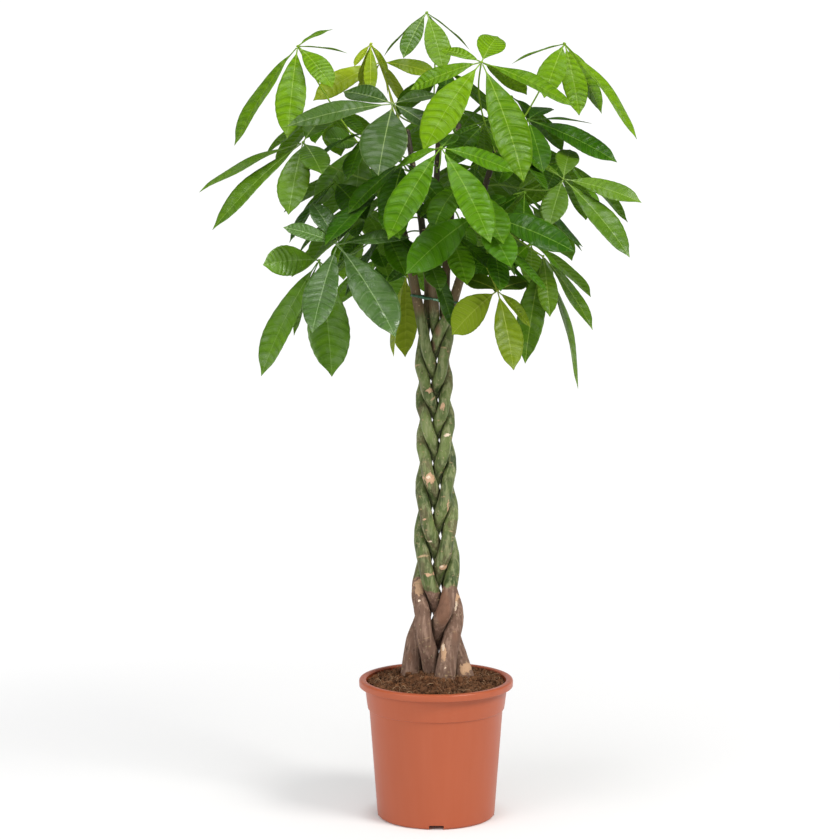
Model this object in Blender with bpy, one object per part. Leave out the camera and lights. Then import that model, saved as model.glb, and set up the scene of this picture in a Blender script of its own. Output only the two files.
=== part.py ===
"""Potted money tree: a nursery pot, soil, five plaited stems, a tie and palmate leaves.

Frame: the origin is on the plant's axis, on the plane that the pot stands on.
+Z points up the stems, +X to the plant's right side and +Y to its back.
All lengths are in metres, except the leaf table, which is in centimetres.
"""
import math

import bmesh
import bpy
import numpy as np
from mathutils import Matrix
from mathutils import Vector
from mathutils.bvhtree import BVHTree

# ---------------------------------------------------------------- pot
POT_H = 0.2165
POT_SEG = 44
WALL = 0.0022
FLOOR_T = 0.0030
BASE_R = 0.0918
BASE_ROUND = 0.0050
STEP_R = 0.1040
STEP_Z = 0.1695
BAND_LOW_R = 0.1065
BAND_HIGH_R = 0.1110
LIP_R = 0.1200
LIP_H = 0.0110
RECESS_W = 0.0225
RECESS_H = 0.0070
RECESS_R = 0.0660
DRAIN_R = 0.0040
DRAIN_AT = 0.0780

# ---------------------------------------------------------------- soil
SOIL_GAP = 0.0004
SOIL_PROFILE = [(0.0000, 0.2265), (0.0250, 0.2255), (0.0500, 0.2220), (0.0750, 0.2165), (0.0930, 0.2123)]
SOIL_EDGE_Z = 0.2090
SOIL_SEG = 44

# ---------------------------------------------------------------- stems
STEM_SIDES = 8
STEM_GAP = 0.0016
STEM_FOOT_Z = 0.1500
PLAIT_LOW = 0.3000
PLAIT_HIGH = 0.7200
PLAIT_START = 0.2925
FINE_STEP = 0.0040
STEM_STEP = 0.0140
# height, half width of the strands' path, half depth, stem radius
PLAIT = [
    (0.150, 0.0280, 0.0200, 0.0168),
    (0.222, 0.0280, 0.0200, 0.0162),
    (0.260, 0.0280, 0.0215, 0.0138),
    (0.300, 0.0284, 0.0210, 0.0120),
    (0.340, 0.0280, 0.0205, 0.0112),
    (0.387, 0.0258, 0.0188, 0.0102),
    (0.450, 0.0248, 0.0178, 0.0096),
    (0.500, 0.0234, 0.0172, 0.0092),
    (0.550, 0.0214, 0.0162, 0.0087),
    (0.610, 0.0200, 0.0154, 0.0083),
    (0.720, 0.0190, 0.0148, 0.0079),
    (0.815, 0.0192, 0.0142, 0.0070),
    (0.870, 0.0192, 0.0142, 0.0056),
    (0.960, 0.0192, 0.0142, 0.0043),
    (1.100, 0.0192, 0.0142, 0.0034),
]
# feet in the soil, then free tops above the plait: (x, y, z)
FEET = [(-0.022, 0.043), (-0.039, 0.006), (-0.003, 0.010), (0.045, -0.006), (0.010, -0.027)]
TOPS = [
    [(0.012, 0.014, 0.815), (0.024, 0.042, 0.950), (0.035, 0.070, 1.075)],
    [(0.030, -0.006, 0.815), (0.047, -0.004, 0.876), (0.074, 0.001, 0.980), (0.095, 0.005, 1.045)],
    [(-0.008, 0.018, 0.815), (-0.026, 0.050, 0.950), (-0.045, 0.075, 1.065)],
    [(-0.031, -0.004, 0.815), (-0.040, -0.010, 0.870), (-0.060, -0.020, 0.950), (-0.085, -0.030, 1.020)],
    [(-0.006, -0.012, 0.815), (-0.002, -0.024, 0.950), (0.005, -0.030, 1.090)],
]

# ---------------------------------------------------------------- tie
TIE_Z = 0.8070
TIE_SLOPE = -0.17
TIE_H = 0.0050
TIE_T = 0.0012
TIE_GAP = 0.0006

# ---------------------------------------------------------------- leaves
HUB_R = 0.0034
HUB_UP = 0.0012
HUB_DOWN = 0.0014
STALK_R = 0.0014
STALK_FOOT_R = 0.0016
STALK_RINGS = 5
SEAT_GAP = 0.0003
RIB_T = 0.0007
FOLD = 0.16
STALKLET = 0.08
STATIONS = (0.16, 0.48, 0.80)
CLEAR = 0.0022
UP = Vector((0.0, 0.0, 1.0))

# Each leaf: stem, height of the stalk's foot on it, hub, arrival direction of the stalk or None,
# and its leaflets: the tip from the hub, a width factor, and how far the blade turns to the front.
LEAVES = [
    (3, 101.0, (-21.0, 0.0, 119.0), None,
     [(-9.5, -3.0, -15.0, 0.92, 0.20), (-1.2, -8.0, -14.0, 0.90, 0.20), (5.5, -6.5, -6.5, 1.08, 0.50),
      (7.5, 1.0, -1.0, 0.80, 0.00), (5.0, 8.0, 3.0, 0.60, 0.00)]),
    (3, 98.0, (-20.0, -5.0, 104.5), None,
     [(-15.5, -2.0, -7.5, 0.75, 0.22), (-13.2, -6.0, -13.0, 0.68, 0.35), (-1.8, -8.5, -10.7, 1.10, 0.30),
      (3.2, -9.0, -4.8, 1.30, 0.30), (3.6, 7.5, 4.8, 1.45, 0.50)]),
    (4, 106.0, (-6.5, -10.0, 110.0), None,
     [(-2.0, -10.0, -10.5, 1.50, 0.40), (-7.5, 5.0, 2.0, 1.40, 0.45), (-15.5, -2.0, -3.3, 0.85, 0.45),
      (7.0, 5.0, 1.5, 1.20, 0.35), (6.0, -4.0, -4.0, 1.30, 0.40)]),
    (2, 106.0, (-10.0, 3.0, 119.5), None,
     [(-2.5, -1.5, -3.5, 0.75, 0.30), (0.0, -4.0, -8.0, 0.75, 0.20), (2.5, -1.0, -4.5, 0.75, 0.30),
      (2.5, 2.5, -7.5, 1.30, 0.40), (-1.5, 3.0, -6.5, 1.20, 0.40)]),
    (2, 104.0, (-8.5, 8.0, 117.0), None,
     [(-10.5, -2.0, -6.0, 1.10, 0.55), (8.5, -2.0, -2.0, 1.15, 0.50), (3.0, 7.0, -6.0, 1.0, 0.30),
      (-4.0, 7.0, -5.0, 1.0, 0.30)]),
    (4, 108.0, (-1.5, 0.0, 124.0), None,
     [(-6.5, 0.5, -6.5, 0.55, 0.00), (-3.5, -4.0, -7.0, 1.10, 0.45), (2.5, -5.0, -9.0, 1.15, 0.50),
      (3.5, 5.5, -5.5, 1.50, 0.40), (6.5, 0.5, -5.5, 0.55, 0.00)]),
    (1, 103.0, (6.5, -12.0, 116.0), None,
     [(-8.5, -5.5, -13.0, 1.10, 0.55), (6.0, -5.5, -17.5, 1.00, 0.50), (13.5, -1.0, -6.5, 0.85, 0.40),
      (7.0, 7.0, -4.5, 1.00, -0.30), (-6.0, 4.0, 2.0, 1.00, 0.40), (2.6, 7.5, 4.2, 1.50, 0.60),
      (-10.5, 1.0, -4.0, 1.00, 0.50)]),
    (1, 104.0, (19.5, 2.0, 119.5), None,
     [(-8.0, 1.0, -3.0, 0.80, 0.15), (-3.5, -8.0, -8.5, 1.10, 0.50), (-3.0, 6.0, -5.0, 1.20, 0.40),
      (2.0, -4.5, -11.0, 1.00, 0.50), (6.0, 3.5, -10.5, 1.05, 0.55), (11.0, -1.5, -14.5, 0.80, 0.25)]),
    (4, 100.0, (0.5, -20.0, 103.5), None,
     [(-7.5, -6.0, -13.0, 1.05, 0.45), (7.0, -6.0, -13.5, 1.05, 0.45), (10.5, 2.0, -3.5, 1.00, 0.50),
      (-6.5, 3.5, -3.0, 1.20, 0.40), (2.0, 8.0, 3.0, 1.0, 0.20)]),
    (1, 98.0, (19.0, -5.0, 99.0), None,
     [(11.5, -3.0, -3.5, 0.95, 0.50), (9.5, -6.5, -11.5, 0.85, 0.45), (-2.5, -7.5, -7.0, 1.20, 0.40),
      (1.5, 8.0, 4.5, 1.25, 0.50), (-5.0, 4.0, 3.0, 0.80, 0.20)]),
    (3, 93.0, (-14.5, -16.0, 89.5), None,
     [(-3.5, -6.0, -12.5, 1.15, 0.30), (8.5, -7.0, -13.0, 1.15, 0.50), (-4.0, 6.0, 6.0, 1.20, 0.30),
      (-8.0, 1.0, 2.5, 1.10, 0.50), (1.5, 7.0, 4.5, 1.0, 0.30), (10.5, 1.5, 1.0, 0.90, 0.40)]),
    (3, 90.0, (-17.5, -10.0, 87.0), None,
     [(-8.0, -5.0, -0.5, 1.55, 0.80), (-8.5, -3.0, -17.0, 0.90, 0.40), (2.0, -4.0, -17.0, 1.15, 0.40),
      (-4.0, 4.0, -11.5, 0.80, 0.30), (3.5, 5.0, -13.0, 1.00, 0.40)]),
    (1, 88.5, (9.0, -10.0, 82.5), (0.35, -0.45, -0.80),
     [(-6.8, -4.0, -6.3, 1.60, -0.75), (2.3, -4.5, -11.5, 1.08, 0.30), (5.0, 1.0, -5.5, 1.30, 0.40),
      (-4.6, 4.5, 1.6, 1.40, 0.50), (4.6, 4.5, 1.2, 1.40, 0.50)]),
    (1, 92.5, (16.2, -2.0, 87.3), (0.80, -0.20, -0.45),
     [(-2.9, -5.5, -15.9, 0.80, 0.25), (7.4, -3.0, -11.0, 0.72, 0.35), (5.5, 0.5, -20.3, 0.60, 0.30),
      (0.8, -4.0, -8.9, 0.95, 0.40), (2.5, 6.0, -6.5, 1.20, 0.50)]),
    (4, 93.0, (6.0, -17.0, 94.0), None,
     [(-10.5, -5.5, -8.5, 1.15, 0.85), (4.5, -7.5, -7.5, 1.30, 0.40), (14.0, 0.5, -5.5, 1.05, 0.60),
      (4.0, 8.0, 2.5, 1.0, 0.30), (-5.5, 5.5, 2.0, 1.0, 0.30)]),
    (1, 101.0, (14.0, 2.0, 108.0), None,
     [(13.5, -2.0, -6.5, 0.90, 0.50), (10.0, 3.5, -0.5, 0.65, 0.10), (2.0, -6.0, -8.0, 1.10, 0.40),
      (-6.0, -2.0, -5.0, 1.20, 0.40), (4.0, 8.0, 2.0, 1.1, 0.20)]),
    (2, 100.0, (-11.5, 4.0, 104.5), None,
     [(-5.5, -6.0, 0.5, 1.50, 0.60), (-7.0, -3.0, -10.0, 1.15, 0.40), (-1.0, -7.5, -12.5, 1.1, 0.40),
      (6.0, -4.0, -8.0, 1.2, 0.40), (3.0, 8.0, 1.0, 1.0, 0.20)]),
    (4, 88.0, (-1.5, -7.5, 87.5), (-0.20, -0.60, 0.30),
     [(2.0, -4.5, -5.0, 1.50, 0.40), (4.0, -1.2, -11.0, 0.85, 0.40), (-6.0, -1.5, -4.0, 1.10, 0.40),
      (1.0, -3.0, 5.5, 1.0, 0.30)]),
]

# Back and inner leaves: stem, foot height, hub, leaflet count, reach, drop, first heading in degrees.
FANS = [
    (2, 102.0, (-17.0, 11.0, 110.0), 6, 9.5, 6.5, 20.0),
    (2, 98.0, (-13.0, 20.0, 101.0), 6, 10.5, 6.0, 50.0),
    (0, 104.5, (3.0, 21.0, 110.5), 6, 10.0, 6.0, 10.0),
    (0, 106.5, (12.0, 16.0, 112.0), 5, 9.0, 6.5, 35.0),
    (1, 95.0, (20.0, 12.0, 102.0), 6, 9.0, 7.5, 5.0),
    (3, 95.0, (-13.0, 12.0, 95.0), 5, 9.0, 7.0, 60.0),
    (2, 90.0, (-8.0, 17.0, 87.0), 6, 9.0, 7.0, 25.0),
    (0, 92.0, (9.0, 19.0, 91.0), 6, 10.0, 7.0, 40.0),
    (0, 89.0, (15.0, 10.0, 89.0), 5, 8.5, 6.5, 15.0),
    (0, 107.0, (1.5, 9.0, 116.0), 6, 8.5, 6.5, 30.0),
    (3, 88.0, (-8.0, -9.0, 97.5), 5, 8.5, 6.0, 70.0),
    (0, 97.0, (6.0, 11.0, 101.0), 5, 8.5, 6.0, 55.0),
    (2, 93.0, (-13.0, 22.0, 91.5), 5, 9.5, 7.0, 30.0),
    (0, 100.0, (7.0, 26.0, 101.5), 6, 9.5, 6.5, 0.0),
    (1, 92.0, (15.0, 19.0, 95.0), 5, 9.0, 7.0, 45.0),
    (0, 102.5, (14.0, 24.0, 105.5), 5, 9.0, 6.5, 20.0),
    (4, 104.0, (7.0, -7.0, 107.0), 5, 8.5, 6.0, 15.0),
    (1, 95.0, (13.0, -9.0, 97.0), 5, 8.0, 6.0, 50.0),
    (2, 96.0, (-5.0, 3.0, 98.0), 5, 8.0, 6.0, 35.0),
    (3, 97.0, (-15.5, -2.0, 98.5), 4, 8.0, 7.0, 45.0),
    (0, 94.0, (4.0, 2.0, 93.0), 5, 7.5, 6.0, 60.0),
    (2, 91.0, (-10.0, 5.0, 90.0), 5, 8.0, 6.0, 0.0),
    (0, 88.0, (9.5, 3.5, 88.0), 5, 7.5, 6.0, 20.0),
    (4, 101.0, (-5.0, -11.0, 101.5), 5, 7.5, 6.5, 40.0),
    (4, 97.0, (4.0, -11.5, 98.5), 5, 7.5, 6.5, 20.0),
    (3, 93.0, (-8.0, -8.5, 91.5), 5, 7.0, 6.0, 10.0),
    (1, 89.0, (8.5, -7.0, 89.5), 5, 7.0, 5.5, 60.0),
    (3, 98.0, (-10.5, -2.5, 106.0), 5, 7.5, 6.0, 35.0),
    (4, 92.0, (2.0, -9.0, 91.0), 5, 6.5, 5.5, 0.0),
    (1, 99.0, (12.0, -4.0, 104.0), 5, 7.5, 6.0, 30.0),
    (2, 86.5, (-4.6, 2.5, 84.5), 3, 2.2, 11.0, 215.0),
]

COLORS = {
    "pot": (0.52, 0.135, 0.065, 1.0),
    "soil": (0.10, 0.055, 0.033, 1.0),
    "stem": (0.17, 0.19, 0.075, 1.0),
    "tie": (0.02, 0.15, 0.06, 1.0),
    "leaf": (0.10, 0.25, 0.035, 1.0),
}


# ================================================================ helpers
def clear_scene():
    for old in list(bpy.data.objects):
        bpy.data.objects.remove(old, do_unlink=True)
    for old in list(bpy.data.meshes):
        bpy.data.meshes.remove(old)


def material(name, color):
    mat = bpy.data.materials.new(name)
    mat.use_nodes = True
    mat.diffuse_color = color
    shader = mat.node_tree.nodes["Principled BSDF"]
    shader.inputs["Base Color"].default_value = color
    shader.inputs["Roughness"].default_value = 0.5
    return mat


def make_object(name, verts, faces, color, smooth=True):
    mesh = bpy.data.meshes.new(name)
    mesh.from_pydata([tuple(v) for v in verts], [], faces)
    bm = bmesh.new()
    bm.from_mesh(mesh)
    bmesh.ops.recalc_face_normals(bm, faces=bm.faces)
    bm.to_mesh(mesh)
    bm.free()
    if smooth:
        mesh.shade_smooth()
    obj = bpy.data.objects.new(name, mesh)
    bpy.context.scene.collection.objects.link(obj)
    mesh.materials.append(material(name + "_mat", color))
    return obj


def lathe(profile, segments):
    """A closed profile of (radius, height) turned about Z; radius 0 closes on the axis."""
    verts = []
    faces = []
    index = []
    for radius, height in profile:
        if radius < 1e-9:
            verts.append((0.0, 0.0, height))
            index.append([len(verts) - 1] * segments)
            continue
        ring = []
        for k in range(segments):
            a = 2.0 * math.pi * k / segments
            verts.append((radius * math.cos(a), radius * math.sin(a), height))
            ring.append(len(verts) - 1)
        index.append(ring)
    for j in range(len(profile) - 1):
        for k in range(segments):
            n = (k + 1) % segments
            corner = [index[j][k], index[j][n], index[j + 1][n], index[j + 1][k]]
            face = []
            for c in corner:
                if c not in face:
                    face.append(c)
            if len(face) > 2:
                faces.append(face)
    return verts, faces


def box(center, size, turn=0.0):
    verts = []
    for sx in (-0.5, 0.5):
        for sy in (-0.5, 0.5):
            for sz in (-0.5, 0.5):
                x = center[0] + sx * size[0]
                y = center[1] + sy * size[1]
                verts.append((x * math.cos(turn) - y * math.sin(turn),
                              x * math.sin(turn) + y * math.cos(turn),
                              center[2] + sz * size[2]))
    faces = [(0, 1, 3, 2), (4, 6, 7, 5), (0, 4, 5, 1), (2, 3, 7, 6), (0, 2, 6, 4), (1, 5, 7, 3)]
    return verts, faces


def combine(target, verts, faces, operation):
    """Boolean the given solid into the target and remove the tool."""
    tool = make_object("tool", verts, faces, COLORS["soil"], smooth=False)
    tool.hide_render = True
    tool.display_type = "WIRE"
    mod = target.modifiers.new("cut", "BOOLEAN")
    mod.operation = operation
    mod.solver = "EXACT"
    mod.object = tool
    graph = bpy.context.evaluated_depsgraph_get()
    result = bpy.data.meshes.new_from_object(target.evaluated_get(graph))
    target.modifiers.remove(mod)
    target.data = result
    bpy.data.objects.remove(tool, do_unlink=True)


def tube(points, radii, sides, dome=False):
    """A closed tube along points, with flat ends or a domed far end."""
    pts = [Vector(p) for p in points]
    count = len(pts)
    tangents = []
    for j in range(count):
        a = pts[max(j - 1, 0)]
        b = pts[min(j + 1, count - 1)]
        tangents.append((b - a).normalized())
    side = Vector((1.0, 0.0, 0.0))
    if abs(tangents[0].dot(side)) > 0.9:
        side = Vector((0.0, 1.0, 0.0))
    side = (side - tangents[0] * side.dot(tangents[0])).normalized()
    rings = []
    verts = []
    for j in range(count):
        t = tangents[j]
        side = (side - t * side.dot(t)).normalized()
        other = t.cross(side)
        ring = []
        for k in range(sides):
            a = 2.0 * math.pi * k / sides
            verts.append(pts[j] + (side * math.cos(a) + other * math.sin(a)) * radii[j])
            ring.append(len(verts) - 1)
        rings.append(ring)
    if dome:
        t = tangents[-1]
        other = t.cross(side)
        r = radii[-1]
        ring = []
        for k in range(sides):
            a = 2.0 * math.pi * k / sides
            spot = pts[-1] + t * r * 0.6 + (side * math.cos(a) + other * math.sin(a)) * r * 0.7
            verts.append(spot)
            ring.append(len(verts) - 1)
        rings.append(ring)
        verts.append(pts[-1] + t * r)
    faces = []
    for j in range(len(rings) - 1):
        for k in range(sides):
            n = (k + 1) % sides
            faces.append((rings[j][k], rings[j][n], rings[j + 1][n], rings[j + 1][k]))
    faces.append(tuple(reversed(rings[0])))
    if dome:
        top = len(verts) - 1
        for k in range(sides):
            faces.append((rings[-1][k], rings[-1][(k + 1) % sides], top))
    else:
        faces.append(tuple(rings[-1]))
    return verts, faces


# ================================================================ pot and soil
def outer_wall(z):
    """Outer radius of the pot's wall at a height."""
    if z <= STEP_Z:
        return BASE_R + (STEP_R - BASE_R) * max(z - BASE_ROUND, 0.0) / (STEP_Z - BASE_ROUND)
    return BAND_LOW_R + (BAND_HIGH_R - BAND_LOW_R) * (z - STEP_Z) / (POT_H - LIP_H - STEP_Z)


def build_pot():
    lip_low = POT_H - LIP_H
    profile = [(0.0, 0.0), (BASE_R - BASE_ROUND, 0.0)]
    for k in range(1, 4):
        a = math.radians(30.0 * k)
        profile.append((BASE_R - BASE_ROUND + BASE_ROUND * math.sin(a), BASE_ROUND * (1.0 - math.cos(a))))
    profile += [
        (STEP_R, STEP_Z),
        (BAND_LOW_R, STEP_Z + 0.0020),
        (BAND_HIGH_R, lip_low),
        (BAND_HIGH_R + 0.0004, POT_H - 0.0042),
        (LIP_R - 0.0022, POT_H - 0.0042),
        (LIP_R - 0.0020, lip_low),
        (LIP_R - 0.0003, lip_low),
        (LIP_R, POT_H - 0.0030),
        (LIP_R - 0.0012, POT_H - 0.0008),
        (LIP_R - 0.0032, POT_H),
        (BAND_HIGH_R + 0.0008, POT_H),
        (BAND_HIGH_R - 0.0012, POT_H - 0.0012),
        (BAND_HIGH_R - WALL, POT_H - 0.0040),
        (BAND_LOW_R - WALL, STEP_Z + 0.0020),
        (STEP_R - WALL, STEP_Z - 0.0004),
        (BASE_R - WALL, FLOOR_T + 0.0030),
        (BASE_R - WALL - 0.0030, FLOOR_T),
        (0.0, FLOOR_T),
    ]
    verts, faces = lathe(profile, POT_SEG)
    pot = make_object("pot", verts, faces, COLORS["pot"])
    for k in range(4):
        turn = math.radians(-90.0 + 90.0 * k)
        depth = BASE_R - WALL * 0.5 - (RECESS_R - 0.0020)
        middle = (RECESS_R - 0.0020 + depth * 0.5, 0.0, 0.0010 + (RECESS_H + 0.0012) * 0.5)
        size = (depth, RECESS_W + 0.0040, RECESS_H + 0.0012)
        verts, faces = box(middle, size, turn)
        combine(pot, verts, faces, "UNION")
    for k in range(4):
        turn = math.radians(-90.0 + 90.0 * k)
        verts, faces = box((RECESS_R + 0.0200, 0.0, 0.0), (0.0400, RECESS_W, RECESS_H * 2.0), turn)
        combine(pot, verts, faces, "DIFFERENCE")
        x = DRAIN_AT * math.cos(turn)
        y = DRAIN_AT * math.sin(turn)
        verts, faces = tube([(x, y, 0.004), (x, y, 0.014)], [DRAIN_R, DRAIN_R], 12)
        combine(pot, verts, faces, "DIFFERENCE")
    pot.data.shade_smooth()
    return pot


def build_soil(stem_paths, stem_radii):
    bottom = FLOOR_T + SOIL_GAP
    profile = [(0.0, bottom), (BASE_R - WALL - 0.0030 - SOIL_GAP, bottom)]
    profile.append((BASE_R - WALL - SOIL_GAP * 2.0, FLOOR_T + 0.0030 + SOIL_GAP))
    profile.append((STEP_R - WALL - SOIL_GAP * 2.0, STEP_Z - 0.0004))
    profile.append((BAND_LOW_R - WALL - SOIL_GAP * 2.0, STEP_Z + 0.0022))
    edge = outer_wall(SOIL_EDGE_Z) - WALL - SOIL_GAP * 3.0
    profile.append((edge, SOIL_EDGE_Z))
    for radius, height in reversed(SOIL_PROFILE):
        profile.append((radius, height))
    verts, faces = lathe(profile, SOIL_SEG)
    soil = make_object("soil", verts, faces, COLORS["soil"])
    for k in range(4):
        turn = math.radians(-90.0 + 90.0 * k)
        size = (0.0400, RECESS_W + 0.0046, 0.0190)
        verts, faces = box((RECESS_R - 0.0023 + 0.0200, 0.0, 0.0), size, turn)
        combine(soil, verts, faces, "DIFFERENCE")
    for i in range(5):
        keep = [j for j in range(len(stem_paths[i])) if stem_paths[i][j][2] < 0.262]
        pts = [stem_paths[i][j] for j in keep]
        rad = [stem_radii[i][j] + 0.0005 for j in keep]
        first = Vector(pts[0])
        pts[0] = first - Vector((0.0, 0.0, 0.0005))
        verts, faces = tube(pts, rad, STEM_SIDES)
        combine(soil, verts, faces, "DIFFERENCE")
    soil.data.shade_smooth()
    return soil


# ================================================================ stems
def stem_centres():
    """Centre lines of the five stems: a plait of five strands, eased apart until none touch."""
    table = np.array(PLAIT)
    top_z = max(t[-1][2] for t in TOPS)
    z = np.arange(STEM_FOOT_Z, top_z + FINE_STEP, FINE_STEP)
    half_w = np.interp(z, table[:, 0], table[:, 1])
    half_d = np.interp(z, table[:, 0], table[:, 2])
    radius = np.interp(z, table[:, 0], table[:, 3])
    start = np.interp(z, [0.600, 0.720], [PLAIT_START, PLAIT_START - 0.0110])
    inner = np.maximum(0.0890 ** 2 - 4.0 * 0.0026 * (z - start), 0.0)
    turns = (0.0890 - np.sqrt(inner)) / 0.0052
    drift = np.interp(z, [0.22, 0.30, 0.50, 0.60, 0.70, 0.80], [0.0, 0.0010, 0.0004, -0.0004, -0.004, -0.004])
    paths = np.zeros((5, len(z), 3))
    for i in range(5):
        phase = np.radians(180.0 - 72.0 * turns + 72.0 * i)
        swing = np.arcsin(0.92 * np.sin(phase)) / math.asin(0.92)
        x = half_w * swing + drift
        y = half_d * np.sin(2.0 * phase)
        knots_z = [STEM_FOOT_Z, 0.222]
        knots_x = [FEET[i][0] * 1.06, FEET[i][0]]
        knots_y = [FEET[i][1] * 1.06, FEET[i][1]]
        in_plait = (z >= PLAIT_LOW) & (z <= PLAIT_HIGH)
        knots_z += list(z[in_plait])
        knots_x += list(x[in_plait])
        knots_y += list(y[in_plait])
        for spot in TOPS[i]:
            knots_x.append(spot[0])
            knots_y.append(spot[1])
            knots_z.append(spot[2])
        slope = np.array(TOPS[i][-1]) - np.array(TOPS[i][-2])
        slope = slope / slope[2]
        end = np.array(TOPS[i][-1]) + slope * 0.10
        knots_x.append(end[0])
        knots_y.append(end[1])
        knots_z.append(end[2])
        paths[i, :, 0] = np.interp(z, knots_z, knots_x)
        paths[i, :, 1] = np.interp(z, knots_z, knots_y)
        paths[i, :, 2] = z
    for turn in range(60):
        paths = smooth_lines(paths, 0.5, z)
    for turn in range(160):
        paths = ease_apart(paths, radius, 0.5)
        paths = smooth_lines(paths, 0.12, z)
    for turn in range(90):
        paths = ease_apart(paths, radius, 0.5)
        paths = smooth_lines(paths, 0.01, z)
    return z, paths, radius


def smooth_lines(paths, weight, z):
    """Smooth along the height, lightly inside the plait and fully outside it."""
    inside = (z > PLAIT_LOW + 0.01) & (z < PLAIT_HIGH - 0.01)
    amount = np.where(inside, weight * 0.25, weight)[None, 1:-1, None]
    out = paths.copy()
    middle = (paths[:, :-2] + paths[:, 2:]) * 0.5
    out[:, 1:-1] = paths[:, 1:-1] * (1.0 - amount) + middle * amount
    out[:, :, 2] = paths[:, :, 2]
    return out


def ease_apart(paths, radius, share):
    """Push any two stems apart, in the horizontal plane, where they are closer than they may be."""
    count = paths.shape[1]
    push = np.zeros_like(paths)
    for a in range(5):
        for b in range(a + 1, 5):
            for shift in range(-10, 11):
                lo = max(0, -shift)
                hi = min(count, count - shift)
                pa = paths[a, lo:hi]
                pb = paths[b, lo + shift:hi + shift]
                need = radius[lo:hi] + radius[lo + shift:hi + shift] + STEM_GAP
                gap = pa - pb
                dist = np.sqrt((gap ** 2).sum(axis=1)) + 1e-9
                lack = np.maximum(need - dist, 0.0)
                flat = gap.copy()
                flat[:, 2] = 0.0
                flat_len = np.sqrt((flat ** 2).sum(axis=1)) + 1e-6
                move = flat / flat_len[:, None] * (lack * share)[:, None]
                here = push[a, lo:hi]
                there = push[b, lo + shift:hi + shift]
                bigger = (move ** 2).sum(axis=1) > (here ** 2).sum(axis=1)
                here[bigger] = move[bigger]
                bigger = (move ** 2).sum(axis=1) > (there ** 2).sum(axis=1)
                there[bigger] = -move[bigger]
    return paths + push


def stem_lines():
    """The stations of each stem, as lists of points and radii."""
    z, paths, radius = stem_centres()
    lines = []
    radii = []
    for i in range(5):
        top = TOPS[i][-1][2]
        stations = [STEM_FOOT_Z, 0.186, 0.210]
        height = 0.222
        while height < 0.800:
            stations.append(height)
            height += STEM_STEP
        while height < top - 0.012:
            stations.append(height)
            height += STEM_STEP * 1.7
        stations.append(top)
        pts = []
        rad = []
        for s in stations:
            pts.append(Vector((float(np.interp(s, z, paths[i, :, 0])), float(np.interp(s, z, paths[i, :, 1])), s)))
            rad.append(float(np.interp(s, z, radius)) * 1.03)
        lines.append(pts)
        radii.append(rad)
    return lines, radii


# ================================================================ tie
def tie_path(lines, radii, clearance, count):
    """A loop pulled tight round the five stems."""
    spots = []
    for i in range(5):
        best = min(range(len(lines[i])), key=lambda j: abs(lines[i][j].z - (TIE_Z + TIE_SLOPE * lines[i][j].x)))
        low = max(best - 1, 0)
        high = min(best + 1, len(lines[i]) - 1)
        for j in (low, best, high):
            p = lines[i][j]
            want = TIE_Z + TIE_SLOPE * p.x
            other = high if want > p.z else low
            q = lines[i][other]
            if abs(q.z - p.z) < 1e-6:
                continue
            f = min(max((want - p.z) / (q.z - p.z), 0.0), 1.0)
            if j == best:
                spots.append((p + (q - p) * f, radii[i][j] * 1.10))
    mx = sum(s[0].x for s in spots) / len(spots)
    my = sum(s[0].y for s in spots) / len(spots)
    reach = []
    for k in range(180):
        a = 2.0 * math.pi * k / 180.0
        far = max((s[0].x - mx) * math.cos(a) + (s[0].y - my) * math.sin(a) + s[1] for s in spots)
        reach.append(far + clearance)
    loop = []
    for k in range(count):
        a = 2.0 * math.pi * k / count
        near = []
        for m in range(180):
            d = 2.0 * math.pi * m / 180.0 - a
            c = math.cos(d)
            if c > 0.15:
                near.append(reach[m] / c)
        r = min(near)
        x = mx + r * math.cos(a)
        y = my + r * math.sin(a)
        loop.append(Vector((x, y, TIE_Z + TIE_SLOPE * x)))
    return loop


def build_tie(lines, radii):
    inner = tie_path(lines, radii, TIE_GAP, 40)
    outer = tie_path(lines, radii, TIE_GAP + TIE_T, 40)
    verts = []
    faces = []
    count = len(inner)
    for k in range(count):
        verts.append(inner[k] + UP * TIE_H * 0.5)
        verts.append(inner[k] - UP * TIE_H * 0.5)
        verts.append(outer[k] - UP * TIE_H * 0.5)
        verts.append(outer[k] + UP * TIE_H * 0.5)
    for k in range(count):
        n = (k + 1) % count
        for c in range(4):
            d = (c + 1) % 4
            faces.append((4 * k + c, 4 * k + d, 4 * n + d, 4 * n + c))
    tie = make_object("tie", verts, faces, COLORS["tie"])
    front = min(outer, key=lambda p: p.y + abs(p.x + 0.004) * 0.5)
    pts = []
    rad = []
    for k in range(6):
        f = k / 5.0
        pts.append(front + Vector((0.016 * f, -0.0008 - 0.0050 * math.sin(1.6 * f), -0.0075 * f * f)))
        rad.append(0.0018 - 0.0006 * f)
    verts, faces = tube(pts, rad, 8)
    combine(tie, verts, faces, "UNION")
    return tie


# ================================================================ leaves
def leaflet_width(s):
    """Half width of a leaflet along its length, as a share of its widest half width."""
    u = (s - STALKLET) / (1.0 - STALKLET)
    if u <= 0.0:
        return 0.0
    return (u ** 1.1) * (max(1.0 - u, 0.0) ** 0.75) / 0.2868


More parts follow.
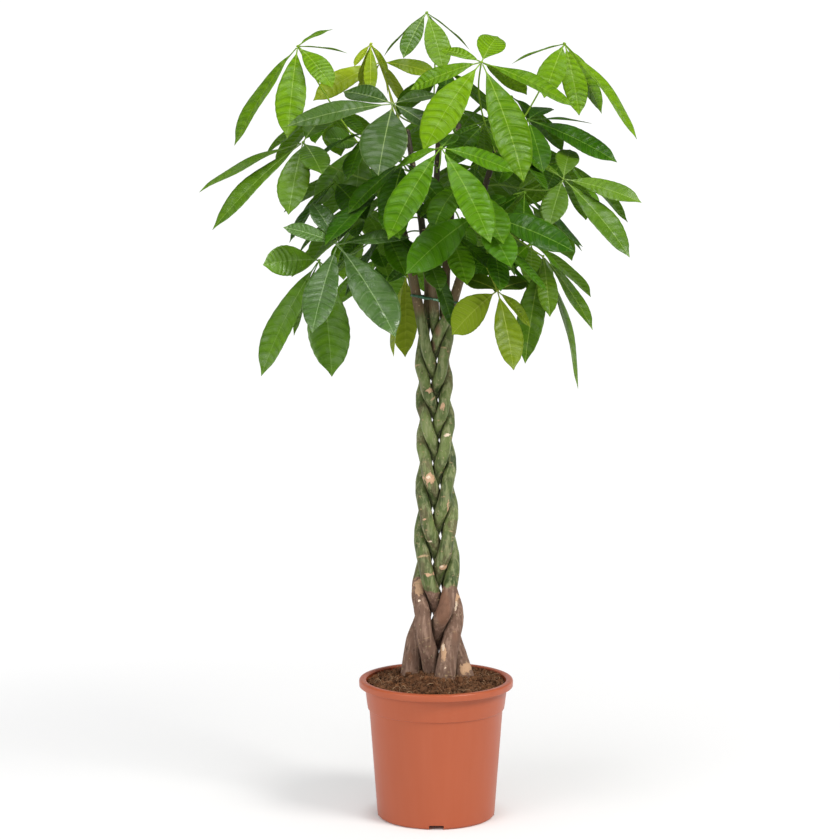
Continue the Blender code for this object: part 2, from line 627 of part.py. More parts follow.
class Leaflet:
    """A leaflet's middle line: a bent line from the hub to the tip, with a level cross direction."""

    def __init__(self, hub, offset, width_factor, bulge, facing, share):
        self.hub = hub
        self.tip = hub + offset
        self.length = offset.length
        level = Vector((offset.x, offset.y, 0.0))
        if level.length < 1e-5:
            level = Vector((0.0, -1.0, 0.0))
        flat_left = UP.cross(level.normalized())
        along = offset.normalized()
        normal = along.cross(flat_left)
        self.bend = hub + offset * 0.5 + normal * (2.0 * bulge * self.length)
        turned = facing.cross(along)
        if turned.length < 0.2:
            turned = flat_left.copy()
        turned.normalize()
        if share < 0.0:
            turned = -turned
        self.left = (flat_left * (1.0 - abs(share)) + turned * abs(share)).normalized()
        self.half = min(max(0.158 * self.length, 0.011), 0.030) * width_factor

    def at(self, s):
        a = (1.0 - s) ** 2
        b = 2.0 * s * (1.0 - s)
        c = s * s
        return self.hub * a + self.bend * b + self.tip * c

    def tangent(self, s):
        d = (self.bend - self.hub) * (1.0 - s) + (self.tip - self.bend) * s
        return d.normalized()

    def section(self, s, thick, extra):
        """Right edge, top of the rib, left edge, underside of the rib."""
        p = self.at(s)
        t = self.tangent(s)
        left = (self.left - t * self.left.dot(t)).normalized()
        n = t.cross(left)
        w = self.half * leaflet_width(s) + extra
        w = max(w, 0.0012)
        rise = FOLD * w
        return [p - left * w + n * rise, p + n * thick, p + left * w + n * rise, p - n * thick]


def strip_faces(loops):
    """Side faces of a run of four-sided loops."""
    faces = []
    for j in range(len(loops) - 1):
        for c in range(4):
            d = (c + 1) % 4
            faces.append((loops[j][c], loops[j][d], loops[j + 1][d]))
            faces.append((loops[j][c], loops[j + 1][d], loops[j + 1][c]))
    return faces


def test_solid(leaflet, margin, start):
    """A thickened copy of a leaflet for the clearance test."""
    verts = []
    loops = []
    for s in (start,) + tuple(q for q in STATIONS if q > start + 0.02):
        loop = []
        for v in leaflet.section(s, RIB_T + margin, margin):
            verts.append(v)
            loop.append(len(verts) - 1)
        loops.append(loop)
    verts.append(leaflet.tip + leaflet.tangent(1.0) * margin)
    tip = len(verts) - 1
    faces = strip_faces(loops)
    for c in range(4):
        faces.append((loops[-1][c], loops[-1][(c + 1) % 4], tip))
    return Solid(verts, faces)


class Solid:
    """Triangles with a bounding box, for fast overlap tests."""

    def __init__(self, verts, faces):
        tri = []
        for f in faces:
            for k in range(1, len(f) - 1):
                tri.append((f[0], f[k], f[k + 1]))
        self.tree = BVHTree.FromPolygons([tuple(v) for v in verts], tri, all_triangles=True)
        self.low = [min(v[c] for v in verts) for c in range(3)]
        self.high = [max(v[c] for v in verts) for c in range(3)]

    def hits(self, other):
        for c in range(3):
            if self.low[c] > other.high[c] or self.high[c] < other.low[c]:
                return False
        return len(self.tree.overlap(other.tree)) > 0


def stalk_points(seat, normal, hub, axis, lift):
    """A bent stalk from its seat on the stem to the underside of the hub."""
    span = (hub - seat).length
    a = seat
    b = seat + normal * (0.10 * span + 0.010) + UP * (lift * span)
    c = hub - axis * (0.30 * span + 0.004)
    d = hub - axis * HUB_DOWN * 2.2
    pts = [a]
    for k in range(1, STALK_RINGS + 1):
        s = k / STALK_RINGS
        p = a * (1 - s) ** 3 + b * (3 * s * (1 - s) ** 2) + c * (3 * s * s * (1 - s)) + d * s ** 3
        pts.append(p)
    return pts


def find_seat(tree, centre, heading):
    """The point and the outward normal on a stem's surface for a heading around it."""
    out = Vector((math.cos(heading), math.sin(heading), 0.0))
    hit, normal, index, dist = tree.ray_cast(centre + out * 0.05, -out)
    return hit, normal


def leaflet_offsets():
    """All the leaves: stem, foot height, hub, arrival direction, tips and their widths and turns."""
    rows = []
    front = Vector((0.0, -1.0, 0.0))
    for stem, foot, hub, axis, tips in LEAVES:
        rows.append((stem, foot * 0.01, Vector(hub) * 0.01, axis, [Vector(t[:3]) * 0.01 for t in tips],
                     [(t[3], front, t[4]) for t in tips]))
    for stem, foot, hub, count, reach, drop, first in FANS:
        tips = []
        widths = []
        outward = math.atan2(hub[1], hub[0])
        for k in range(count):
            a = math.radians(first + 360.0 * k / count)
            out = math.cos(a - outward)
            r = reach * (1.0 + 0.18 * out)
            tips.append(Vector((r * math.cos(a), r * math.sin(a), -drop * (1.0 + 0.35 * out))) * 0.01)
            width = 1.12 + 0.10 * math.sin(2.1 * k + first)
            widths.append((width, Vector((math.cos(outward), math.sin(outward), 0.0)), 0.35))
        rows.append((stem, foot * 0.01, Vector(hub) * 0.01, None, tips, widths))
    return rows


def stem_spot(lines, stem, height):
    line = lines[stem]
    height = min(height, line[-1].z - 0.004)
    for j in range(len(line) - 1):
        if line[j].z <= height <= line[j + 1].z:
            f = (height - line[j].z) / (line[j + 1].z - line[j].z)
            return line[j] + (line[j + 1] - line[j]) * f
    return line[-1]


def choices():
    """Changes to try for a leaflet, from the smallest: depth, height, length, bulge."""
    out = []
    for depth in (0.0, 0.012, -0.012, 0.024, -0.024, 0.036, -0.036, 0.050, -0.050, 0.065, -0.065):
        for rise in (0.0, -0.008, 0.008, -0.018, 0.018):
            for scale in (1.0, 0.90, 0.80, 0.70):
                for bulge in (0.035, -0.010, 0.090):
                    cost = abs(depth) / 0.012 + abs(rise) / 0.006 + (1.0 - scale) / 0.035
                    cost += abs(bulge - 0.035) / 0.06 * 0.5
                    out.append((cost, depth, rise, scale, bulge))
    out.sort()
    return out


def place_leaves(lines, trees, blocks):
    """Seat every stalk, then fit every leaflet clear of all that is already there."""
    rows = leaflet_offsets()
    placed = []
    solids = list(blocks)
    stalk_solids = []
    for stem, foot, hub, axis, tips, widths in rows:
        flat = Vector((hub.x, hub.y, 0.0))
        if axis is None:
            axis = UP * 0.85 + flat.normalized() * 0.45
        axis = Vector(axis).normalized()
        found = None
        best = None
        for turn in (0, 40, -40, 80, -80):
            for rise in (0.0, 0.012, -0.012, 0.026, -0.026, 0.040, -0.040):
                for lift in (0.12, 0.28, 0.0, 0.42):
                    if found:
                        break
                    centre = stem_spot(lines, stem, foot + rise)
                    heading = math.atan2(hub.y - centre.y, hub.x - centre.x) + math.radians(turn)
                    hit, normal = find_seat(trees[stem], centre, heading)
                    if hit is None:
                        continue
                    seat = hit + normal * SEAT_GAP
                    pts = stalk_points(seat, normal, hub, axis, lift)
                    full = pts + [hub + axis * 0.0035]
                    wide, faces = tube(full, [STALK_R + 0.0016] * len(pts[1:]) + [0.0052, 0.0056], 6)
                    solid = Solid(wide, faces)
                    late = [pts[0] + (pts[1] - pts[0]) * 0.35] + pts[1:]
                    wide, faces = tube(late, [STALK_R + 0.0010] * len(late), 6)
                    own = Solid(wide, faces)
                    bad = 0
                    for j in range(5):
                        if j == stem:
                            bad += own.hits(solids[j])
                        else:
                            bad += solid.hits(solids[j])
                    for other in solids[5:] + stalk_solids:
                        bad += solid.hits(other)
                    if best is None or bad < best[0]:
                        best = (bad, seat, normal, pts, solid)
                    if bad == 0:
                        found = best
        if found is None:
            print("stalk not clear", len(placed) + 1, best[0])
            found = best
        placed.append([stem, hub, axis, found[2], found[3], tips, widths, []])
        stalk_solids.append(found[4])
    leaflet_solids = []
    options = choices()
    for number, leaf in enumerate(placed):
        hub = leaf[1]
        mates = []
        late = leaf[4][:-1] + [leaf[4][-2] + (leaf[4][-1] - leaf[4][-2]) * 0.45]
        wide, faces = tube(late, [STALK_R + 0.0010] * len(late), 6)
        own_stalk = Solid(wide, faces)
        for tip, width in zip(leaf[5], leaf[6]):
            chosen = None
            best = None
            for cost, depth, rise, scale, bulge in options:
                offset = (tip + Vector((0.0, depth, rise))) * scale
                trial = Leaflet(hub, offset, width[0], bulge, width[1], width[2])
                solid = test_solid(trial, CLEAR, 0.05)
                slim = test_solid(trial, 0.0006, 0.16)
                bad = slim.hits(own_stalk)
                for other in mates:
                    bad += slim.hits(other)
                for other in solids:
                    bad += solid.hits(other)
                for k, other in enumerate(stalk_solids):
                    if k != number:
                        bad += solid.hits(other)
                for other in leaflet_solids:
                    bad += solid.hits(other)
                if best is None or bad < best[0]:
                    best = (bad, trial, solid, slim)
                if bad == 0:
                    chosen = best
                    break
            if chosen is None:
                print("leaflet not clear", number + 1, len(leaf[7]) + 1, best[0])
                chosen = best
            leaf[7].append(chosen[1])
            mates.append(chosen[3])
            chosen_solid = chosen[2]
            leaf[7][-1].solid = chosen_solid
        leaflet_solids += [q.solid for q in leaf[7]]
    return placed


def leaf_mesh(leaf):
    """One closed skin: the stalk, the hub and all the leaflets."""
    stem, hub, axis, normal, stalk, tips, widths, leaflets = leaf
    one = Vector((1.0, 0.0, 0.0)) - axis * axis.x
    if one.length < 0.2:
        one = Vector((0.0, 1.0, 0.0)) - axis * axis.y
    one.normalize()
    two = axis.cross(one)
    ordered = []
    for leaflet in leaflets:
        d = leaflet.tip - hub
        ordered.append((math.atan2(d.dot(two), d.dot(one)), leaflet))
    ordered.sort(key=lambda pair: pair[0])
    count = len(ordered)
    shift_x = sum(math.cos(a - 2.0 * math.pi * k / count) for k, (a, q) in enumerate(ordered))
    shift_y = sum(math.sin(a - 2.0 * math.pi * k / count) for k, (a, q) in enumerate(ordered))
    start = math.atan2(shift_y, shift_x)

    def spot(angle, radius, height):
        return hub + one * (radius * math.cos(angle)) + two * (radius * math.sin(angle)) + axis * height

    verts = []
    side = []
    top = []
    under = []
    ring = []
    for k in range(count):
        a = start + 2.0 * math.pi * k / count
        verts.append(spot(a + math.pi / count, HUB_R, 0.0))
        side.append(len(verts) - 1)
        verts.append(spot(a, HUB_R * 0.8, HUB_UP))
        top.append(len(verts) - 1)
        verts.append(spot(a, HUB_R * 0.8, -HUB_DOWN))
        under.append(len(verts) - 1)
    verts.append(spot(0.0, 0.0, HUB_UP * 1.3))
    crown = len(verts) - 1
    faces = []
    for k in range(count):
        before = side[k - 1]
        faces.append((crown, before, top[k]))
        faces.append((crown, top[k], side[k]))
    # stalk rings, from the hub down to the seat
    path = list(reversed(stalk))
    rings = []
    frame_one = one
    for j, p in enumerate(path):
        ahead = path[min(j + 1, len(path) - 1)] - path[max(j - 1, 0)]
        t = -ahead.normalized()
        radius = STALK_R
        if j == len(path) - 1:
            t = normal
            radius = STALK_FOOT_R
        if j == 0:
            t = axis
        frame_one = (frame_one - t * frame_one.dot(t)).normalized()
        frame_two = t.cross(frame_one)
        ring = []
        for k in range(count):
            a = start + 2.0 * math.pi * k / count + math.pi / count
            verts.append(p + (frame_one * math.cos(a) + frame_two * math.sin(a)) * radius)
            ring.append(len(verts) - 1)
        rings.append(ring)
    ring = rings[0]
    for k in range(count):
        before = k - 1
        faces.append((under[k], ring[before], side[before]))
        faces.append((under[k], ring[k], ring[before]))
        faces.append((under[k], side[k], ring[k]))
    for j in range(len(rings) - 1):
        for k in range(count):
            n = (k + 1) % count
            faces.append((rings[j][k], rings[j + 1][k], rings[j + 1][n]))
            faces.append((rings[j][k], rings[j + 1][n], rings[j][n]))
    faces.append(tuple(rings[-1]))
    for k in range(count):
        leaflet = ordered[k][1]
        loops = [[side[k - 1], top[k], side[k], under[k]]]
        across = verts[side[k]] - verts[side[k - 1]]
        flip = across.dot(leaflet.left) < 0.0
        for s in STATIONS:
            loop = []
            for v in leaflet.section(s, RIB_T, 0.0):
                verts.append(v)
                loop.append(len(verts) - 1)
            if flip:
                loop = [loop[2], loop[3], loop[0], loop[1]]
            loops.append(loop)
        verts.append(leaflet.tip)
        tip = len(verts) - 1
        faces += strip_faces(loops)
        for c in range(4):
            faces.append((loops[-1][c], loops[-1][(c + 1) % 4], tip))
    return verts, faces


# ================================================================ build
def main():
    clear_scene()
    lines, radii = stem_lines()
    build_pot()
    build_soil(lines, radii)
    trees = []
    blocks = []
    for i in range(5):
        verts, faces = tube(lines[i], radii[i], STEM_SIDES, dome=True)
        stem = make_object("stem_%d" % (i + 1), verts, faces, COLORS["stem"])
        trees.append(BVHTree.FromPolygons([tuple(v) for v in verts], faces))
        wide, wide_faces = tube(lines[i], [r + CLEAR * 0.4 for r in radii[i]], STEM_SIDES, dome=True)
        blocks.append(Solid(wide, wide_faces))
    tie = build_tie(lines, radii)
    blocks.append(Solid([v.co.copy() for v in tie.data.vertices], [tuple(p.vertices) for p in tie.data.polygons]))
    for number, leaf in enumerate(place_leaves(lines, trees, blocks)):
        verts, faces = leaf_mesh(leaf)
        make_object("leaf_%02d" % (number + 1), verts, faces, COLORS["leaf"])


main()
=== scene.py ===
import math

import bmesh
import bpy
import numpy as np
from mathutils import Matrix
from mathutils import Vector
from mathutils import noise
from mathutils.bvhtree import BVHTree


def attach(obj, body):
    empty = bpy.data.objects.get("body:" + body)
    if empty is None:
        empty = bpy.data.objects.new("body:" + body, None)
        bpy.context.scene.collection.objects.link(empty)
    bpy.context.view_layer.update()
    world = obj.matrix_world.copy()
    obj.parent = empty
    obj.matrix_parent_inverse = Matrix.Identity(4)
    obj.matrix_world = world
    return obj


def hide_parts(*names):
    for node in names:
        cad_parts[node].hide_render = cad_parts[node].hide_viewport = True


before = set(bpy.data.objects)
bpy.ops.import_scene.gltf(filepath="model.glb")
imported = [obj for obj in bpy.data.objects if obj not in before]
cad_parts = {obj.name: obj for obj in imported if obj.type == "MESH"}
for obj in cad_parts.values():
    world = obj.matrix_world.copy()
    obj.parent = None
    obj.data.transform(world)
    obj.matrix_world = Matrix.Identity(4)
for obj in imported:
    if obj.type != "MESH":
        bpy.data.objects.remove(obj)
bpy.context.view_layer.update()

# ---------------------------------------------------------------- pot
POT_H = 0.2165
WALL = 0.0022
FLOOR_T = 0.0030
BASE_R = 0.0918
BASE_ROUND = 0.0050
STEP_R = 0.1040
STEP_Z = 0.1695
BAND_LOW_R = 0.1065
BAND_HIGH_R = 0.1110
LIP_R = 0.1200
LIP_H = 0.0110
RECESS_W = 0.0225
RECESS_H = 0.0070
RECESS_R = 0.0660
DRAIN_R = 0.0040
DRAIN_AT = 0.0780

# ---------------------------------------------------------------- soil
SOIL_GAP = 0.0004
SOIL_PROFILE = [(0.0000, 0.2265), (0.0250, 0.2255), (0.0500, 0.2220), (0.0750, 0.2165), (0.0930, 0.2123)]
SOIL_EDGE_Z = 0.2090

# ---------------------------------------------------------------- stems
STEM_SIDES = 8
STEM_GAP = 0.0016
STEM_FOOT_Z = 0.1500
PLAIT_LOW = 0.3000
PLAIT_HIGH = 0.7200
PLAIT_START = 0.2925
# height from crossing to crossing at the start, how much less each one has, straightness of the strands
CROSSING = 0.0890
TIGHTER = 0.0026
SWEEP = 0.92
FINE_STEP = 0.0040
STEM_STEP = 0.0140
# height, half width of the strands' path, half depth, stem radius
PLAIT = [
    (0.150, 0.0280, 0.0200, 0.0168),
    (0.222, 0.0280, 0.0200, 0.0162),
    (0.260, 0.0280, 0.0215, 0.0138),
    (0.300, 0.0284, 0.0210, 0.0120),
    (0.340, 0.0280, 0.0205, 0.0112),
    (0.387, 0.0258, 0.0188, 0.0102),
    (0.450, 0.0248, 0.0178, 0.0096),
    (0.500, 0.0234, 0.0172, 0.0092),
    (0.550, 0.0214, 0.0162, 0.0087),
    (0.610, 0.0200, 0.0154, 0.0083),
    (0.720, 0.0190, 0.0148, 0.0079),
    (0.815, 0.0192, 0.0142, 0.0070),
    (0.870, 0.0192, 0.0142, 0.0056),
    (0.960, 0.0192, 0.0142, 0.0043),
    (1.100, 0.0192, 0.0142, 0.0034),
]
# feet in the soil, then free tops above the plait: (x, y, z)
FEET = [(-0.022, 0.043), (-0.039, 0.006), (-0.003, 0.010), (0.045, -0.006), (0.010, -0.027)]
TOPS = [
    [(0.012, 0.014, 0.815), (0.024, 0.042, 0.950), (0.035, 0.070, 1.075)],
    [(0.030, -0.006, 0.815), (0.047, -0.004, 0.876), (0.074, 0.001, 0.980), (0.095, 0.005, 1.045)],
    [(-0.008, 0.018, 0.815), (-0.026, 0.050, 0.950), (-0.045, 0.075, 1.065)],
    [(-0.031, -0.004, 0.815), (-0.040, -0.010, 0.870), (-0.060, -0.020, 0.950), (-0.085, -0.030, 1.020)],
    [(-0.006, -0.012, 0.815), (-0.002, -0.024, 0.950), (0.005, -0.030, 1.090)],
]

# ---------------------------------------------------------------- tie
TIE_Z = 0.8070
TIE_SLOPE = -0.17
TIE_H = 0.0050
TIE_T = 0.0012
TIE_GAP = 0.0006

# ---------------------------------------------------------------- leaves
HUB_R = 0.0034
HUB_DOWN = 0.0014
STALK_R = 0.0014
STALK_RINGS = 5
SEAT_GAP = 0.0003
RIB_T = 0.0007
FOLD = 0.16
STALKLET = 0.08
STATIONS = (0.16, 0.48, 0.80)
CLEAR = 0.0022
UP = Vector((0.0, 0.0, 1.0))
CM = 0.01
FULL = 2.0 * math.pi

# Each leaf, in centimetres: stem, height of the stalk's foot on it, hub, arrival direction of the stalk
# or None, and its leaflets: the tip from the hub, a width factor, and how far the blade turns to the front.
LEAVES = [
    (3, 101.0, (-21.0, 0.0, 119.0), None,
     [(-9.5, -3.0, -15.0, 0.92, 0.20), (-1.2, -8.0, -14.0, 0.90, 0.20), (5.5, -6.5, -6.5, 1.08, 0.50),
      (7.5, 1.0, -1.0, 0.80, 0.00), (5.0, 8.0, 3.0, 0.60, 0.00)]),
    (3, 98.0, (-20.0, -5.0, 104.5), None,
     [(-15.5, -2.0, -7.5, 0.75, 0.22), (-13.2, -6.0, -13.0, 0.68, 0.35), (-1.8, -8.5, -10.7, 1.10, 0.30),
      (3.2, -9.0, -4.8, 1.30, 0.30), (3.6, 7.5, 4.8, 1.45, 0.50)]),
    (4, 106.0, (-6.5, -10.0, 110.0), None,
     [(-2.0, -10.0, -10.5, 1.50, 0.40), (-7.5, 5.0, 2.0, 1.40, 0.45), (-15.5, -2.0, -3.3, 0.85, 0.45),
      (7.0, 5.0, 1.5, 1.20, 0.35), (6.0, -4.0, -4.0, 1.30, 0.40)]),
    (2, 106.0, (-10.0, 3.0, 119.5), None,
     [(-2.5, -1.5, -3.5, 0.75, 0.30), (0.0, -4.0, -8.0, 0.75, 0.20), (2.5, -1.0, -4.5, 0.75, 0.30),
      (2.5, 2.5, -7.5, 1.30, 0.40), (-1.5, 3.0, -6.5, 1.20, 0.40)]),
    (2, 104.0, (-8.5, 8.0, 117.0), None,
     [(-10.5, -2.0, -6.0, 1.10, 0.55), (8.5, -2.0, -2.0, 1.15, 0.50), (3.0, 7.0, -6.0, 1.0, 0.30),
      (-4.0, 7.0, -5.0, 1.0, 0.30)]),
    (4, 108.0, (-1.5, 0.0, 124.0), None,
     [(-6.5, 0.5, -6.5, 0.55, 0.00), (-3.5, -4.0, -7.0, 1.10, 0.45), (2.5, -5.0, -9.0, 1.15, 0.50),
      (3.5, 5.5, -5.5, 1.50, 0.40), (6.5, 0.5, -5.5, 0.55, 0.00)]),
    (1, 103.0, (6.5, -12.0, 116.0), None,
     [(-8.5, -5.5, -13.0, 1.10, 0.55), (6.0, -5.5, -17.5, 1.00, 0.50), (13.5, -1.0, -6.5, 0.85, 0.40),
      (7.0, 7.0, -4.5, 1.00, -0.30), (-6.0, 4.0, 2.0, 1.00, 0.40), (2.6, 7.5, 4.2, 1.50, 0.60),
      (-10.5, 1.0, -4.0, 1.00, 0.50)]),
    (1, 104.0, (19.5, 2.0, 119.5), None,
     [(-8.0, 1.0, -3.0, 0.80, 0.15), (-3.5, -8.0, -8.5, 1.10, 0.50), (-3.0, 6.0, -5.0, 1.20, 0.40),
      (2.0, -4.5, -11.0, 1.00, 0.50), (6.0, 3.5, -10.5, 1.05, 0.55), (11.0, -1.5, -14.5, 0.80, 0.25)]),
    (4, 100.0, (0.5, -20.0, 103.5), None,
     [(-7.5, -6.0, -13.0, 1.05, 0.45), (7.0, -6.0, -13.5, 1.05, 0.45), (10.5, 2.0, -3.5, 1.00, 0.50),
      (-6.5, 3.5, -3.0, 1.20, 0.40), (2.0, 8.0, 3.0, 1.0, 0.20)]),
    (1, 98.0, (19.0, -5.0, 99.0), None,
     [(11.5, -3.0, -3.5, 0.95, 0.50), (9.5, -6.5, -11.5, 0.85, 0.45), (-2.5, -7.5, -7.0, 1.20, 0.40),
      (1.5, 8.0, 4.5, 1.25, 0.50), (-5.0, 4.0, 3.0, 0.80, 0.20)]),
    (3, 93.0, (-14.5, -16.0, 89.5), None,
     [(-3.5, -6.0, -12.5, 1.15, 0.30), (8.5, -7.0, -13.0, 1.15, 0.50), (-4.0, 6.0, 6.0, 1.20, 0.30),
      (-8.0, 1.0, 2.5, 1.10, 0.50), (1.5, 7.0, 4.5, 1.0, 0.30), (10.5, 1.5, 1.0, 0.90, 0.40)]),
    (3, 90.0, (-17.5, -10.0, 87.0), None,
     [(-8.0, -5.0, -0.5, 1.55, 0.80), (-8.5, -3.0, -17.0, 0.90, 0.40), (2.0, -4.0, -17.0, 1.15, 0.40),
      (-4.0, 4.0, -11.5, 0.80, 0.30), (3.5, 5.0, -13.0, 1.00, 0.40)]),
    (1, 88.5, (9.0, -10.0, 82.5), (0.35, -0.45, -0.80),
     [(-6.8, -4.0, -6.3, 1.60, -0.75), (2.3, -4.5, -11.5, 1.08, 0.30), (5.0, 1.0, -5.5, 1.30, 0.40),
      (-4.6, 4.5, 1.6, 1.40, 0.50), (4.6, 4.5, 1.2, 1.40, 0.50)]),
    (1, 92.5, (16.2, -2.0, 87.3), (0.80, -0.20, -0.45),
     [(-2.9, -5.5, -15.9, 0.80, 0.25), (7.4, -3.0, -11.0, 0.72, 0.35), (5.5, 0.5, -20.3, 0.60, 0.30),
      (0.8, -4.0, -8.9, 0.95, 0.40), (2.5, 6.0, -6.5, 1.20, 0.50)]),
    (4, 93.0, (6.0, -17.0, 94.0), None,
     [(-10.5, -5.5, -8.5, 1.15, 0.85), (4.5, -7.5, -7.5, 1.30, 0.40), (14.0, 0.5, -5.5, 1.05, 0.60),
      (4.0, 8.0, 2.5, 1.0, 0.30), (-5.5, 5.5, 2.0, 1.0, 0.30)]),
    (1, 101.0, (14.0, 2.0, 108.0), None,
     [(13.5, -2.0, -6.5, 0.90, 0.50), (10.0, 3.5, -0.5, 0.65, 0.10), (2.0, -6.0, -8.0, 1.10, 0.40),
      (-6.0, -2.0, -5.0, 1.20, 0.40), (4.0, 8.0, 2.0, 1.1, 0.20)]),
    (2, 100.0, (-11.5, 4.0, 104.5), None,
     [(-5.5, -6.0, 0.5, 1.50, 0.60), (-7.0, -3.0, -10.0, 1.15, 0.40), (-1.0, -7.5, -12.5, 1.1, 0.40),
      (6.0, -4.0, -8.0, 1.2, 0.40), (3.0, 8.0, 1.0, 1.0, 0.20)]),
    (4, 88.0, (-1.5, -7.5, 87.5), (-0.20, -0.60, 0.30),
     [(2.0, -4.5, -5.0, 1.50, 0.40), (4.0, -1.2, -11.0, 0.85, 0.40), (-6.0, -1.5, -4.0, 1.10, 0.40),
      (1.0, -3.0, 5.5, 1.0, 0.30)]),
]

# Back and inner leaves, in centimetres: stem, foot height, hub, leaflet count, reach, drop, and the first
# leaflet's heading in degrees.
FANS = [
    (2, 102.0, (-17.0, 11.0, 110.0), 6, 9.5, 6.5, 20.0),
    (2, 98.0, (-13.0, 20.0, 101.0), 6, 10.5, 6.0, 50.0),
    (0, 104.5, (3.0, 21.0, 110.5), 6, 10.0, 6.0, 10.0),
    (0, 106.5, (12.0, 16.0, 112.0), 5, 9.0, 6.5, 35.0),
    (1, 95.0, (20.0, 12.0, 102.0), 6, 9.0, 7.5, 5.0),
    (3, 95.0, (-13.0, 12.0, 95.0), 5, 9.0, 7.0, 60.0),
    (2, 90.0, (-8.0, 17.0, 87.0), 6, 9.0, 7.0, 25.0),
    (0, 92.0, (9.0, 19.0, 91.0), 6, 10.0, 7.0, 40.0),
    (0, 89.0, (15.0, 10.0, 89.0), 5, 8.5, 6.5, 15.0),
    (0, 107.0, (1.5, 9.0, 116.0), 6, 8.5, 6.5, 30.0),
    (3, 88.0, (-8.0, -9.0, 97.5), 5, 8.5, 6.0, 70.0),
    (0, 97.0, (6.0, 11.0, 101.0), 5, 8.5, 6.0, 55.0),
    (2, 93.0, (-13.0, 22.0, 91.5), 5, 9.5, 7.0, 30.0),
    (0, 100.0, (7.0, 26.0, 101.5), 6, 9.5, 6.5, 0.0),
    (1, 92.0, (15.0, 19.0, 95.0), 5, 9.0, 7.0, 45.0),
    (0, 102.5, (14.0, 24.0, 105.5), 5, 9.0, 6.5, 20.0),
    (4, 104.0, (7.0, -7.0, 107.0), 5, 8.5, 6.0, 15.0),
    (1, 95.0, (13.0, -9.0, 97.0), 5, 8.0, 6.0, 50.0),
    (2, 96.0, (-5.0, 3.0, 98.0), 5, 8.0, 6.0, 35.0),
    (3, 97.0, (-15.5, -2.0, 98.5), 4, 8.0, 7.0, 45.0),
    (0, 94.0, (4.0, 2.0, 93.0), 5, 7.5, 6.0, 60.0),
    (2, 91.0, (-10.0, 5.0, 90.0), 5, 8.0, 6.0, 0.0),
    (0, 88.0, (9.5, 3.5, 88.0), 5, 7.5, 6.0, 20.0),
    (4, 101.0, (-5.0, -11.0, 101.5), 5, 7.5, 6.5, 40.0),
    (4, 97.0, (4.0, -11.5, 98.5), 5, 7.5, 6.5, 20.0),
    (3, 93.0, (-8.0, -8.5, 91.5), 5, 7.0, 6.0, 10.0),
    (1, 89.0, (8.5, -7.0, 89.5), 5, 7.0, 5.5, 60.0),
    (3, 98.0, (-10.5, -2.5, 106.0), 5, 7.5, 6.0, 35.0),
    (4, 92.0, (2.0, -9.0, 91.0), 5, 6.5, 5.5, 0.0),
    (1, 99.0, (12.0, -4.0, 104.0), 5, 7.5, 6.0, 30.0),
    (2, 86.5, (-4.6, 2.5, 84.5), 3, 2.2, 11.0, 215.0),
]


# ================================================================ shapes shared with the CAD
def ring_faces(rings):
    """Four-sided faces between each two neighbouring rings of vertices."""
    faces = []
    for low, high in zip(rings[:-1], rings[1:]):
        for k in range(len(low)):
            m = (k + 1) % len(low)
            faces.append((low[k], low[m], high[m], high[k]))
    return faces


def tube(points, radii, sides, dome=False):
    """A closed tube along points, with flat ends or a domed far end."""
    pts = [Vector(p) for p in points]
    count = len(pts)
    tangents = []
    for j in range(count):
        a = pts[max(j - 1, 0)]
        b = pts[min(j + 1, count - 1)]
        tangents.append((b - a).normalized())
    side = Vector((1.0, 0.0, 0.0))
    if abs(tangents[0].dot(side)) > 0.9:
        side = Vector((0.0, 1.0, 0.0))
    side = (side - tangents[0] * side.dot(tangents[0])).normalized()
    rings = []
    verts = []
    for j in range(count):
        t = tangents[j]
        side = (side - t * side.dot(t)).normalized()
        other = t.cross(side)
        ring = []
        for k in range(sides):
            a = FULL * k / sides
            verts.append(pts[j] + (side * math.cos(a) + other * math.sin(a)) * radii[j])
            ring.append(len(verts) - 1)
        rings.append(ring)
    if dome:
        t = tangents[-1]
        other = t.cross(side)
        r = radii[-1]
        ring = []
        for k in range(sides):
            a = FULL * k / sides
            spot = pts[-1] + t * r * 0.6 + (side * math.cos(a) + other * math.sin(a)) * r * 0.7
            verts.append(spot)
            ring.append(len(verts) - 1)
        rings.append(ring)
        verts.append(pts[-1] + t * r)
    faces = ring_faces(rings)
    faces.append(tuple(reversed(rings[0])))
    if dome:
        top = len(verts) - 1
        for k in range(sides):
            faces.append((rings[-1][k], rings[-1][(k + 1) % sides], top))
    else:
        faces.append(tuple(rings[-1]))
    return verts, faces


def outer_wall(z):
    """Outer radius of the pot's wall at a height."""
    if z <= STEP_Z:
        return BASE_R + (STEP_R - BASE_R) * max(z - BASE_ROUND, 0.0) / (STEP_Z - BASE_ROUND)
    return BAND_LOW_R + (BAND_HIGH_R - BAND_LOW_R) * (z - STEP_Z) / (POT_H - LIP_H - STEP_Z)


